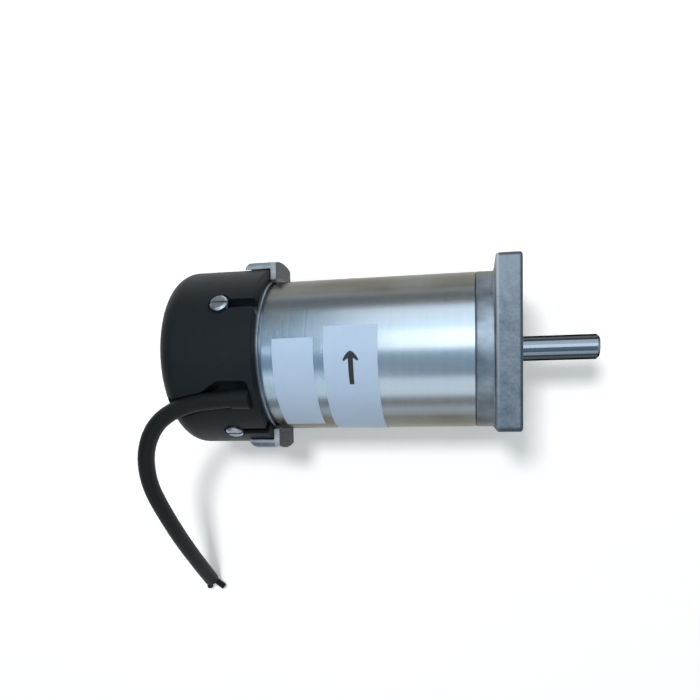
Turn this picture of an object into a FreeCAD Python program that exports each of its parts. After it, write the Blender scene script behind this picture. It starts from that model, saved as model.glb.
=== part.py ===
import FreeCAD, Part
import math
import os
import re
import Sketcher
from FreeCAD import Vector

# A brushed permanent-magnet DC motor with a square mounting flange.
# Millimetres. The origin is the centre of the flange's output face, on the shaft's axis.
# +X runs out along the output shaft, so the motor lies behind the flange along -X. +Z is up.

doc = FreeCAD.newDocument("brushed_motor")
sheet = doc.addObject("Spreadsheet::Sheet", "sizes")

SIZES = {
    # front housing: square flange, round hub, register, seat for the front bearing
    "flange_width": 65.0,
    "flange_thickness": 9.5,
    "flange_corner_radius": 2.4,
    "flange_edge_radius": 1.1,
    "flange_hole_spacing": 52.0,
    "flange_hole_radius": 2.75,
    "pilot_radius": 16.0,
    "pilot_height": 1.2,
    "hub_length": 7.1,
    "hub_flare": 0.5,
    "hub_flare_height": 0.5,
    "spigot_length": 5.4,
    "spigot_clearance": 0.05,
    "front_cavity_inset": 7.5,
    "front_cavity_depth": 9.0,
    "shaft_opening_radius": 7.4,
    # motor tube and the field magnets inside it
    "tube_radius": 31.5,
    "tube_wall": 3.0,
    "tube_length": 84.6,
    "tube_step_length": 2.5,
    "tube_step_depth": 0.6,
    "joint_chamfer": 0.35,
    "magnet_thickness": 6.35,
    "magnet_rear_gap": 6.2,
    "magnet_setback": 16.4,
    "magnet_angle": 128.0,
    "magnet_clearance": 0.15,
    "clip_thickness": 0.8,
    "clip_height": 4.5,
    # rear housing: ring, two lugs, skirt, end wall with the rear bearing's seat
    "ring_step": 0.3,
    "ring_length": 1.5,
    "lug_width": 21.0,
    "lug_thickness": 2.5,
    "lug_length": 13.3,
    "lug_lead": 1.1,
    "lug_chamfer": 1.6,
    "lug_gap": 0.4,
    "skirt_step": 0.7,
    "skirt_wall": 4.8,
    "skirt_length": 28.8,
    "end_wall": 4.0,
    "rear_spigot_length": 5.7,
    "bearing_hub_wall": 3.2,
    "bearing_lip": 1.9,
    "rear_opening_radius": 7.5,
    # rear cover
    "cover_lip": 4.6,
    "cover_end_gap": 1.3,
    "cover_wall": 2.6,
    "cover_edge_radius": 8.0,
    "cover_rim_radius": 0.5,
    "cover_clearance": 0.2,
    "cover_screw_setback": 14.2,
    "cover_screw_angle": 30.5,
    "cover_slot_clearance": 0.2,
    "cover_rib_width": 11.0,
    "counterbore_radius": 4.5,
    "counterbore_depth": 1.0,
    "screw_radius": 2.0,
    "screw_length": 7.5,
    "screw_head_radius": 3.6,
    "screw_head_height": 2.1,
    "screw_head_rounding": 0.6,
    "screw_slot_width": 1.0,
    "screw_slot_depth": 1.0,
    "thread_clearance": 0.05,
    # cable outlet in the cover
    "outlet_angle": -30.6,
    "outlet_width": 15.6,
    "outlet_wall": 2.0,
    "outlet_setback": 2.4,
    "outlet_corner_radius": 2.5,
    "outlet_gap": 0.35,
    "outlet_pocket_length": 12.7,
    "outlet_taper": 7.5,
    "outlet_lip": 3.2,
    "outlet_upper_drift": 3.7,
    "outlet_lower_drift": 6.5,
    "outlet_bend_setback": 18.0,
    "notch_clearance": 0.4,
    "cable_lift": 0.2,
    "cable_radius": 3.5,
    "boot_wall": 0.4,
    "boot_length": 7.4,
    "boot_bore_depth": 4.8,
    "boot_stem_step": 0.6,
    "boot_stem_setback": 4.0,
    "boot_flange_radius": 5.0,
    "boot_flange_thickness": 1.3,
    "boot_clearance": 0.1,
    # bearings
    "seat_clearance": 0.01,
    "front_bore_radius": 5.0,
    "front_outer_radius": 13.0,
    "front_bearing_width": 8.0,
    "front_ball_radius": 2.381,
    "front_bearing_setback": 2.8,
    "rear_bore_radius": 4.0,
    "rear_outer_radius": 11.0,
    "rear_bearing_width": 7.0,
    "rear_ball_radius": 1.984,
    "rear_bearing_gap": 1.5,
    "groove_clearance": 0.06,
    "cage_thickness": 1.5,
    "cage_margin": 0.6,
    "race_shoulder": 0.6,
    "ball_count": 7,
    "shield_thickness": 0.5,
    "shield_inset": 0.15,
    "shield_clearance": 0.3,
    "circlip_thickness": 1.0,
    "circlip_depth": 0.6,
    "circlip_width": 1.8,
    "circlip_gap": 5.0,
    "wave_washer_height": 1.2,
    "wave_washer_thickness": 0.3,
    "wave_washer_rim": 2.4,
    # tie bolts
    "tie_inset": 3.9,
    "tie_bolt_radius": 2.0,
    "tie_hole_radius": 2.25,
    "tie_thread_depth": 12.0,
    "tie_head_radius": 3.5,
    "tie_head_height": 2.8,
    "tie_washer_thickness": 0.9,
    "tie_washer_margin": 0.8,
    "tie_hex_width": 3.0,
    "tie_hex_depth": 1.6,
    # rotor
    "shaft_length": 31.4,
    "shaft_radius": 5.0,
    "shaft_chamfer": 1.0,
    "shaft_core_radius": 6.0,
    "journal_end": 1.5,
    "air_gap": 0.7,
    "core_rear_gap": 9.2,
    "core_setback": 19.4,
    "slot_count": 12,
    "slot_opening": 2.4,
    "slot_root_radius": 11.0,
    "slot_root_width": 2.6,
    "tooth_tip": 1.9,
    "slot_top_width": 7.2,
    "slot_clearance": 0.25,
    "insulator_thickness": 0.8,
    "winding_overhang": 8.2,
    "winding_inset": 1.4,
    "winding_bore": 9.6,
    "winding_rounding": 2.6,
    "commutator_radius": 11.0,
    "commutator_rear_gap": 0.2,
    "commutator_lead": 2.4,
    "segment_thickness": 2.4,
    "segment_count": 24,
    "segment_spacing": 0.7,
    "riser_radius": 13.0,
    "riser_length": 3.0,
    # brush gear
    "brush_plate_thickness": 1.6,
    "brush_plate_clearance": 0.2,
    "brush_plate_notch": 2.9,
    "brush_width": 6.0,
    "brush_depth": 8.0,
    "brush_lift": 0.05,
    "holder_wall": 0.8,
    "holder_clearance": 0.06,
    "holder_standoff": 1.6,
    "holder_top_gap": 2.8,
    "spring_room": 3.75,
    "holder_hole_radius": 1.1,
    "spring_wire_radius": 0.22,
    "spring_coil_radius": 1.85,
    "spring_turns": 4.5,
    "pigtail_radius": 0.55,
    "pigtail_rise": 1.0,
    "terminal_gap": 2.74,
    "terminal_thickness": 0.8,
    "terminal_height": 8.0,
    "terminal_width": 6.0,
    "terminal_drop": 1.6,
    "plate_screw_inset": 5.4,
    "plate_screw_radius": 1.5,
    "plate_screw_length": 4.6,
    "plate_head_radius": 2.7,
    "plate_head_height": 1.8,
    "capacitor_length": 10.0,
    "capacitor_thickness": 4.6,
    "capacitor_depth": 5.0,
    "capacitor_lift": 6.4,
    "capacitor_edge_radius": 0.8,
    "capacitor_lead_radius": 0.35,
    "capacitor_lead_height": 2.5,
    "lead_radius": 0.9,
    "lead_spacing": 2.4,
    "lead_drop": 4.0,
    "lead_bend": 2.0,
    "lead_crossing": 3.6,
    "lead_run": 3.0,
    # paper labels on the tube
    "label_thickness": 0.12,
    "plain_label_inset": 4.3,
    "plain_label_width": 16.4,
    "plain_label_top_angle": 8.0,
    "plain_label_bottom_angle": -68.0,
    "label_spacing": 4.1,
    "arrow_label_width": 20.9,
    "arrow_label_top_angle": 15.8,
    "arrow_label_bottom_angle": -96.0,
    # bare cable end
    "core_wire_radius": 1.15,
    "core_wire_length": 6.5,
    "core_wire_spacing": 2.6,
}

for row, (name, size) in enumerate(SIZES.items(), start=1):
    sheet.set(f"A{row}", name)
    sheet.set(f"B{row}", str(size))
    sheet.setAlias(f"B{row}", name)
doc.recompute()


# ---------------------------------------------------------------- small tools

def link(expression):
    """Write 'sizes.' in front of every size named in an expression."""
    return re.sub(r"[a-z]+(?:_[a-z]+)+", lambda found: "sizes." + found.group(0), str(expression))


def value(expression):
    """The number that an expression comes to now."""
    return float(sheet.evalExpression(link(expression)))


def bind(thing, **sizes):
    """Tie properties to expressions; Placement parts are written with __ for the dots."""
    for name, expression in sizes.items():
        thing.setExpression(name.replace("__", "."), link(expression))
    return thing


def place(thing, x="0 mm", y="0 mm", z="0 mm"):
    return bind(thing, Placement__Base__x=x, Placement__Base__y=y, Placement__Base__z=z)


def around(radius, angle):
    """Y and Z of a point on a circle about the shaft; the angle runs from +Z towards +Y."""
    return f"({radius}) * sin({angle})", f"({radius}) * cos({angle})"


def cylinder(name, radius, length, x="0", y="0", z="0"):
    """A cylinder along +X from x."""
    thing = doc.addObject("Part::Cylinder", name)
    thing.Placement.Rotation = FreeCAD.Rotation(Vector(0, 1, 0), 90)
    return place(bind(thing, Radius=radius, Height=length), x, y, z)


def spoke(name, radius, foot, height, x, angle):
    """A cylinder that points straight away from the shaft at an angle."""
    thing = doc.addObject("Part::Cylinder", name)
    thing.Placement.Rotation = FreeCAD.Rotation(Vector(1, 0, 0), 1)
    y, z = around(foot, angle)
    bind(thing, Radius=radius, Height=height, Placement__Rotation__Angle=f"-({angle})")
    return place(thing, x, y, z)


def block(name, x, length, width, foot, height, angle="0", offset="0"):
    """A box from x to x + length whose height points away from the shaft at an angle."""
    thing = doc.addObject("Part::Box", name)
    thing.Placement.Rotation = FreeCAD.Rotation(Vector(1, 0, 0), 1)
    bind(thing, Length=length, Width=width, Height=height, Placement__Rotation__Angle=f"-({angle})")
    side = f"({offset}) - ({width}) / 2"
    y = f"({side}) * cos({angle}) + ({foot}) * sin({angle})"
    z = f"({foot}) * cos({angle}) - ({side}) * sin({angle})"
    return place(thing, x, y, z)


def ball(name, radius, x, y, z):
    return place(bind(doc.addObject("Part::Sphere", name), Radius=radius), x, y, z)


def cut(name, base, tool):
    thing = doc.addObject("Part::Cut", name)
    thing.Base = base
    thing.Tool = tool
    return thing


def fuse(name, *shapes):
    thing = doc.addObject("Part::MultiFuse", name)
    thing.Shapes = list(shapes)
    return thing


def common(name, *shapes):
    thing = doc.addObject("Part::MultiCommon", name)
    thing.Shapes = list(shapes)
    return thing


def group(name, *shapes):
    thing = doc.addObject("Part::Compound", name)
    thing.Links = list(shapes)
    return thing


def origin_plane(body, role):
    return next(plane for plane in body.Origin.OriginFeatures if plane.Role == role)


def outline(body, name, plane, points):
    """A closed sketch on one of the body's own planes, each corner tied to two expressions."""
    sketch = body.newObject("Sketcher::SketchObject", name)
    sketch.AttachmentSupport = [(origin_plane(body, plane), "")]
    sketch.MapMode = "FlatFace"
    spots = [Vector(value(across), value(up), 0) for across, up in points]
    count = len(spots)
    for index, spot in enumerate(spots):
        sketch.addGeometry(Part.LineSegment(spot, spots[(index + 1) % count]), False)
    for index in range(count):
        sketch.addConstraint(Sketcher.Constraint("Coincident", index, 2, (index + 1) % count, 1))
    for index, (across, up) in enumerate(points):
        for kind, expression in (("DistanceX", across), ("DistanceY", up)):
            number = sketch.addConstraint(Sketcher.Constraint(kind, -1, 1, index, 1, value(expression)))
            sketch.setExpression(f"Constraints[{number}]", link(expression))
    return sketch


def turn_in(body, name, points, angle="360", plane="XY_Plane"):
    """Turn corners given as (x, radius) about the shaft's axis, as a feature of a body."""
    sketch = outline(body, name + "_profile", plane, points)
    turn = body.newObject("PartDesign::Revolution", name + "_turn")
    turn.Profile = sketch
    turn.ReferenceAxis = (sketch, ["H_Axis"])
    turn.Midplane = True
    bind(turn, Angle=angle)
    body.Tip = turn
    return turn


def turned(name, points, angle="360", plane="XY_Plane"):
    """A body turned about the shaft's axis; a part turn is centred on the sketch's plane."""
    body = doc.addObject("PartDesign::Body", name)
    turn_in(body, name, points, angle, plane)
    return body


def ring(name, inner, outer, x, length):
    """A plain ring from x to x + length."""
    start, end = f"{x}", f"({x}) + ({length})"
    return turned(name, [(start, inner), (end, inner), (end, outer), (start, outer)])


def dress(body, size, wanted):
    """Round the edges that a test picks."""
    doc.recompute()
    base = body.Tip
    edges = [f"Edge{number}" for number, edge in enumerate(base.Shape.Edges, start=1) if wanted(edge)]
    feature = body.newObject("PartDesign::Fillet", base.Name + "_fillet")
    feature.Base = (base, edges)
    body.Tip = bind(feature, Radius=size)
    return body


def straight_along_shaft(edge):
    """A test for straight edges that run along the shaft."""
    ends = [vertex.Point for vertex in edge.Vertexes]
    return isinstance(edge.Curve, Part.Line) and abs((ends[1] - ends[0]).x) > edge.Length * 0.999


def circle_at(x, radius):
    """A test for the round edge about the shaft at x with a radius."""
    close = 1e-4

    def wanted(edge):
        curve = edge.Curve
        if not isinstance(curve, Part.Circle):
            return False
        return abs(curve.Center.x - value(x)) < close and abs(curve.Radius - value(radius)) < close
    return wanted


def rounded_path(points, bends=None):
    """Straight runs joined by tangent arcs; returns the wire and the arcs' radii."""
    edges, radii = [], []
    start = points[0]
    for number in range(1, len(points) - 1):
        before, corner, after = points[number - 1], points[number], points[number + 1]
        inward, onward = corner - before, after - corner
        half_turn = inward.getAngle(onward) / 2
        shorter = min(inward.Length, onward.Length)
        inward.normalize()
        onward.normalize()
        radius = bends or 0.45 * shorter / math.tan(half_turn)
        reach = radius * math.tan(half_turn)
        first, last = corner - inward * reach, corner + onward * reach
        bisector = onward - inward
        bisector.normalize()
        middle = corner + bisector * (radius / math.cos(half_turn) - radius)
        edges.append(Part.LineSegment(start, first).toShape())
        edges.append(Part.Arc(first, middle, last).toShape())
        radii.append(radius)
        start = last
    edges.append(Part.LineSegment(start, points[-1]).toShape())
    return Part.Wire(edges), radii


def tube_along(points, radius, bends=None):
    """A round solid of one section along a path with rounded corners."""
    path, radii = rounded_path(points, bends)
    section = Part.Wire([Part.makeCircle(radius, points[0], points[1] - points[0])])
    solid = path.makePipeShell([section], True, False)
    return solid, path.Length, radii


def shaped(name, shape):
    """A plain feature that holds a shape made with Part's own functions."""
    thing = doc.addObject("Part::Feature", name)
    thing.Shape = shape
    thing.Placement = shape.Placement
    return thing


PARTS = []


def keep(thing, label):
    """Name a finished sub-part; its label is its file's name."""
    thing.Label = label
    PARTS.append(thing)
    return thing


# ---------------------------------------------------------------- radii that follow others

TUBE_BORE = "(tube_radius - tube_wall)"
SPIGOT_RADIUS = f"({TUBE_BORE} - spigot_clearance)"
MAGNET_OUTER = f"({TUBE_BORE} - magnet_clearance)"
MAGNET_INNER = f"({MAGNET_OUTER} - magnet_thickness)"
CORE_RADIUS = f"({MAGNET_INNER} - air_gap)"
SLOT_TOP = f"({CORE_RADIUS} - tooth_tip)"
WINDING_RADIUS = f"({CORE_RADIUS} - winding_inset)"
TIE_CIRCLE = f"({TUBE_BORE} - tie_inset)"
SKIRT_RADIUS = "(tube_radius + skirt_step)"
SKIRT_BORE = f"({SKIRT_RADIUS} - skirt_wall)"
RING_RADIUS = f"({SKIRT_RADIUS} + ring_step)"
LIP_RADIUS = f"({SKIRT_RADIUS} + cover_clearance)"
COVER_RADIUS = f"({LIP_RADIUS} + cover_lip)"
COVER_BORE = f"({COVER_RADIUS} - cover_wall)"
TONGUE_INNER = f"({COVER_RADIUS} + lug_gap)"
LUG_RADIUS = f"({TONGUE_INNER} + lug_thickness)"
BOOT_RADIUS = "(cable_radius + boot_clearance + boot_wall)"
STEM_RADIUS = f"({BOOT_RADIUS} - boot_stem_step)"
CABLE_AXIS = f"({LIP_RADIUS} + cable_lift + {BOOT_RADIUS})"
FLOOR_INNER = f"({LIP_RADIUS} - outlet_wall)"
BOOT_FOOT = f"({FLOOR_INNER} - boot_flange_thickness)"
HOLDER_FOOT = "(commutator_radius + holder_standoff)"
HOLDER_TOP = f"({SKIRT_BORE} - holder_top_gap)"
HOLDER_LENGTH = f"({HOLDER_TOP} - {HOLDER_FOOT})"
BRUSH_FOOT = "(commutator_radius + brush_lift)"
BRUSH_TOP = f"({HOLDER_TOP} - holder_wall - spring_room)"
PLATE_SCREW_CIRCLE = f"({SKIRT_BORE} - plate_screw_inset)"
TERMINAL_RADIUS = f"({HOLDER_TOP} - terminal_drop)"
TERMINAL_OFFSET = "(brush_width / 2 + holder_clearance + holder_wall + terminal_gap + terminal_thickness / 2)"
CAPACITOR_HEIGHT = "(commutator_radius + capacitor_lift)"


# ---------------------------------------------------------------- places along the shaft

HUB_FRONT = "-flange_thickness"
TUBE_FRONT = "-(flange_thickness + hub_length)"
TUBE_REAR = f"{TUBE_FRONT} - tube_length"
SPIGOT_REAR = f"{TUBE_FRONT} - spigot_length"
FRONT_CAVITY = f"{SPIGOT_REAR} + front_cavity_depth"
RING_FRONT = f"{TUBE_REAR} + ring_length"
LUG_FRONT = f"{RING_FRONT} + lug_lead"
END_WALL_REAR = f"{TUBE_REAR} - skirt_length"
END_WALL_FRONT = f"{END_WALL_REAR} + end_wall"

FRONT_BEARING_REAR = "-(front_bearing_setback + front_bearing_width)"
REAR_BEARING_FRONT = f"{END_WALL_FRONT} - rear_bearing_gap"
REAR_BEARING_REAR = f"{REAR_BEARING_FRONT} - rear_bearing_width"
BEARING_SHOULDER = f"{REAR_BEARING_REAR} - wave_washer_height"
BEARING_HUB_REAR = f"{BEARING_SHOULDER} - bearing_lip"

COVER_FRONT = TUBE_REAR
COVER_FLOOR = f"{BEARING_HUB_REAR} - cover_end_gap"
COVER_REAR = f"{COVER_FLOOR} - cover_wall"
SCREW_X = f"{COVER_FRONT} - cover_screw_setback"
OUTLET_FRONT = f"{COVER_FRONT} - outlet_setback"
STEM_X = f"{OUTLET_FRONT} - boot_stem_setback"

MAGNET_FRONT = f"{TUBE_FRONT} - magnet_setback"
MAGNET_REAR = f"{TUBE_REAR} + magnet_rear_gap"
CORE_FRONT = f"{TUBE_FRONT} - core_setback"
CORE_REAR = f"{TUBE_REAR} + core_rear_gap"
PLATE_FRONT = f"{END_WALL_FRONT} + brush_plate_thickness"
COMMUTATOR_FRONT = f"{TUBE_REAR} - commutator_lead"
COMMUTATOR_REAR = f"{PLATE_FRONT} + commutator_rear_gap"
BRUSH_REAR = f"{PLATE_FRONT} + holder_wall + holder_clearance"
BRUSH_MIDDLE = f"{BRUSH_REAR} + brush_depth / 2"

PLAIN_LABEL_REAR = f"{TUBE_REAR} + tube_step_length + plain_label_inset"
ARROW_LABEL_REAR = f"{PLAIN_LABEL_REAR} + plain_label_width + label_spacing"

SCREW_ANGLES = [f"cover_screw_angle + {turn}" for turn in (0, 90, 180, 270)]
TIE_ANGLES = ["0", "180"]
PLATE_SCREW_ANGLES = ["45", "135", "225", "315"]


# ---------------------------------------------------------------- front housing and tube

def front_housing():
    flange = doc.addObject("PartDesign::Body", "flange_block")
    half = "flange_width / 2"
    square = [(f"-{half}", f"-{half}"), (half, f"-{half}"), (half, half), (f"-{half}", half)]
    pad = flange.newObject("PartDesign::Pad", "flange_pad")
    pad.Profile = outline(flange, "flange_outline", "YZ_Plane", square)
    pad.Reversed = True
    bind(pad, Length="flange_thickness")
    flange.Tip = pad

    dress(flange, "flange_corner_radius", straight_along_shaft)
    dress(flange, "flange_edge_radius", lambda edge: not straight_along_shaft(edge))

    flare_radius = "tube_radius + hub_flare_height"
    hub = turned("hub_turned", [
        ("-flange_thickness / 2", "0"),
        ("-flange_thickness / 2", flare_radius),
        (HUB_FRONT, flare_radius),
        (f"{HUB_FRONT} - hub_flare", "tube_radius"),
        (f"{TUBE_FRONT} + joint_chamfer", "tube_radius"),
        (TUBE_FRONT, "tube_radius - joint_chamfer"),
        (TUBE_FRONT, SPIGOT_RADIUS),
        (SPIGOT_REAR, SPIGOT_RADIUS),
        (SPIGOT_REAR, "0"),
    ])
    prism = block("hub_prism", SPIGOT_REAR, f"-({SPIGOT_REAR})", "flange_width", f"-{half}", "flange_width")
    pilot = turned("pilot_turned", [
        ("-flange_thickness / 2", "0"),
        ("pilot_height", "0"),
        ("pilot_height", "pilot_radius - joint_chamfer"),
        ("pilot_height - joint_chamfer", "pilot_radius"),
        ("-flange_thickness / 2", "pilot_radius"),
    ])
    solid = fuse("front_casting", flange, common("hub_trimmed", hub, prism), pilot)

    seat_radius = "front_outer_radius + seat_clearance"
    opening_length = "front_bearing_setback + pilot_height + 1"
    bores = [
        cylinder("shaft_opening", "shaft_opening_radius", opening_length, "-front_bearing_setback"),
        cylinder("front_seat", seat_radius, f"-({FRONT_CAVITY}) - front_bearing_setback", FRONT_CAVITY),
        cylinder("circlip_groove", "front_outer_radius + circlip_depth", "circlip_thickness",
                 f"{FRONT_BEARING_REAR} - circlip_thickness"),
        cylinder("front_cavity", f"{TUBE_BORE} - front_cavity_inset", "front_cavity_depth + 1", f"{SPIGOT_REAR} - 1"),
    ]
    reach = "flange_hole_spacing / 2"
    for number, (side, height) in enumerate([("-", "-"), ("", "-"), ("", ""), ("-", "")], start=1):
        bores.append(cylinder(f"flange_hole_{number}", "flange_hole_radius", "flange_thickness + 2",
                              "-flange_thickness - 1", f"{side}{reach}", f"{height}{reach}"))
    for number, angle in enumerate(TIE_ANGLES, start=1):
        y, z = around(TIE_CIRCLE, angle)
        bores.append(cylinder(f"tie_thread_{number}", "tie_bolt_radius + thread_clearance",
                              "tie_thread_depth + 1", f"{SPIGOT_REAR} - 1", y, z))
    keep(cut("front_housing_cut", solid, fuse("front_bores", *bores)), "front_housing")


def motor_tube():
    step = "tube_radius - tube_step_depth"
    keep(turned("tube_turned", [
        (TUBE_REAR, TUBE_BORE),
        (TUBE_FRONT, TUBE_BORE),
        (TUBE_FRONT, "tube_radius - joint_chamfer"),
        (f"{TUBE_FRONT} - joint_chamfer", "tube_radius"),
        (f"{TUBE_REAR} + tube_step_length", "tube_radius"),
        (f"{TUBE_REAR} + tube_step_length", step),
        (TUBE_REAR, step),
    ]), "motor_tube")


def field_magnets():
    outer, inner = MAGNET_OUTER, MAGNET_INNER
    rear = MAGNET_REAR
    for number, side in (("1", ""), ("2", "-")):
        corners = [(rear, inner), (MAGNET_FRONT, inner), (MAGNET_FRONT, outer), (rear, outer)]
        profile = [(x, f"{side}({radius})") for x, radius in corners]
        keep(turned(f"magnet_{number}_turned", profile, "magnet_angle"), f"field_magnet_{number}")


def magnet_clips():
    outer = SPIGOT_RADIUS
    inner = f"{outer} - clip_thickness"
    rear = MAGNET_REAR
    gap = "180 - magnet_angle"
    clips = []
    for number, (side, angle) in enumerate([("", "0"), ("-", "180")], start=1):
        corners = [(rear, inner), (MAGNET_FRONT, inner), (MAGNET_FRONT, outer), (rear, outer)]
        profile = [(x, f"{side}({radius})") for x, radius in corners]
        back = turned(f"clip_back_{number}", profile, f"{gap} - 6", "XZ_Plane")
        legs = []
        for hand in ("+", "-"):
            lean = f"{angle} {hand} (({gap}) / 2 - 4)"
            legs.append(block(f"clip_leg_{number}_{len(legs)}", rear, f"{MAGNET_FRONT} - ({rear})", "clip_thickness",
                              f"{inner} - clip_height", "clip_height + clip_thickness / 2", lean))
        clips.append(fuse(f"clip_{number}", back, *legs))
    keep(group("clip_pair", *clips), "magnet_clips")


# ---------------------------------------------------------------- rear housing and cover

def rear_housing():
    ring_body = turned("ring_turned", [
        (TUBE_REAR, "tube_radius - tube_step_depth + spigot_clearance"),
        (RING_FRONT, "tube_radius - tube_step_depth + spigot_clearance"),
        (RING_FRONT, f"{RING_RADIUS} - joint_chamfer"),
        (f"{RING_FRONT} - joint_chamfer", RING_RADIUS),
        (TUBE_REAR, RING_RADIUS),
    ])
    plate_rear = f"{LUG_FRONT} - lug_thickness"
    lug_rear = f"{LUG_FRONT} - lug_length"
    tongue_inner = TONGUE_INNER
    lug_turned = turned("lug_turned", [
        (LUG_FRONT, "tube_radius + spigot_clearance"),
        (LUG_FRONT, LUG_RADIUS),
        (f"{lug_rear} + lug_chamfer", LUG_RADIUS),
        (lug_rear, f"{LUG_RADIUS} - lug_chamfer"),
        (lug_rear, tongue_inner),
        (plate_rear, tongue_inner),
        (plate_rear, "tube_radius + spigot_clearance"),
    ])
    lug_box = block("lug_box", f"{lug_rear} - 1", "lug_length + 2", f"3 * {LUG_RADIUS}",
                    "-lug_width / 2", "lug_width")
    lugs = common("lugs", lug_turned, lug_box)
    seat_radius = "rear_outer_radius + seat_clearance"
    hub_radius = "rear_outer_radius + bearing_hub_wall"
    rear_spigot = f"{TUBE_REAR} + rear_spigot_length"
    skirt = turned("skirt_turned", [
        (rear_spigot, SKIRT_BORE),
        (rear_spigot, SPIGOT_RADIUS),
        (TUBE_REAR, SPIGOT_RADIUS),
        (TUBE_REAR, SKIRT_RADIUS),
        (END_WALL_REAR, SKIRT_RADIUS),
        (END_WALL_REAR, hub_radius),
        (BEARING_HUB_REAR, hub_radius),
        (BEARING_HUB_REAR, "rear_opening_radius"),
        (BEARING_SHOULDER, "rear_opening_radius"),
        (BEARING_SHOULDER, seat_radius),
        (END_WALL_FRONT, seat_radius),
        (END_WALL_FRONT, SKIRT_BORE),
    ])
    solid = fuse("rear_casting", ring_body, lugs, skirt)

    notch_foot = f"{FLOOR_INNER} - notch_clearance"
    notch_front = f"{OUTLET_FRONT} + outlet_wall + notch_clearance"
    notch_rear = f"{END_WALL_REAR} - 1"
    tools = [
        block("outlet_notch", notch_rear, f"{notch_front} - ({notch_rear})",
              "outlet_width + 2 * (outlet_wall + notch_clearance)", notch_foot, "skirt_wall", "outlet_angle"),
        spoke("boot_hole", "boot_flange_radius + notch_clearance", f"{SKIRT_BORE} - 2", "skirt_wall + 3",
              STEM_X, "outlet_angle"),
    ]
    for number, angle in enumerate(SCREW_ANGLES, start=1):
        tools.append(spoke(f"cover_thread_{number}", "screw_radius + thread_clearance",
                           f"{SKIRT_BORE} - 1", "skirt_wall + 2", SCREW_X, angle))
    for number, angle in enumerate(TIE_ANGLES, start=1):
        y, z = around(TIE_CIRCLE, angle)
        tools.append(cylinder(f"tie_hole_{number}", "tie_hole_radius", "end_wall + 2",
                              f"{END_WALL_REAR} - 1", y, z))
    for number, angle in enumerate(PLATE_SCREW_ANGLES, start=1):
        y, z = around(PLATE_SCREW_CIRCLE, angle)
        tools.append(cylinder(f"plate_thread_{number}", "plate_screw_radius + thread_clearance",
                              "end_wall + 2", f"{END_WALL_REAR} - 1", y, z))
    keep(cut("rear_housing_cut", solid, fuse("rear_tools", *tools)), "rear_housing")


def outlet_cutter():
    """The pocket that the cable leaves through: it narrows to a channel that bends with the cable."""
    body = doc.addObject("PartDesign::Body", "outlet_pocket")
    half = "outlet_width / 2"
    rear = f"{COVER_REAR} - 1"
    snug = f"({BOOT_RADIUS} + outlet_gap)"
    pocket_rear = f"{OUTLET_FRONT} - outlet_pocket_length"
    corners = [
        (rear, f"-({snug} + outlet_lower_drift)"),
        (f"{OUTLET_FRONT} - outlet_bend_setback", f"-{snug}"),
        (OUTLET_FRONT, f"-{snug}"),
        (OUTLET_FRONT, half),
        (pocket_rear, half),
        (f"{pocket_rear} - outlet_taper", "outlet_lip"),
        (rear, "outlet_lip - outlet_upper_drift"),
    ]
    sketch = outline(body, "outlet_outline", "XY_Plane", corners)
    bind(sketch, AttachmentOffset__Base__z=LIP_RADIUS)
    pad = body.newObject("PartDesign::Pad", "outlet_pad")
    pad.Profile = sketch
    bind(pad, Length=COVER_RADIUS)
    body.Tip = pad
    front = value(OUTLET_FRONT)

    def wide_front_corner(edge):
        upright = abs(edge.Vertexes[0].Z - edge.Vertexes[-1].Z) > 1
        return upright and all(abs(vertex.X - front) < 1e-6 and vertex.Y > 0 for vertex in edge.Vertexes)
    dress(body, "outlet_corner_radius", wide_front_corner)
    body.Placement.Rotation = FreeCAD.Rotation(Vector(1, 0, 0), 1)
    bind(body, Placement__Rotation__Angle="-outlet_angle")
    return body


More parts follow.
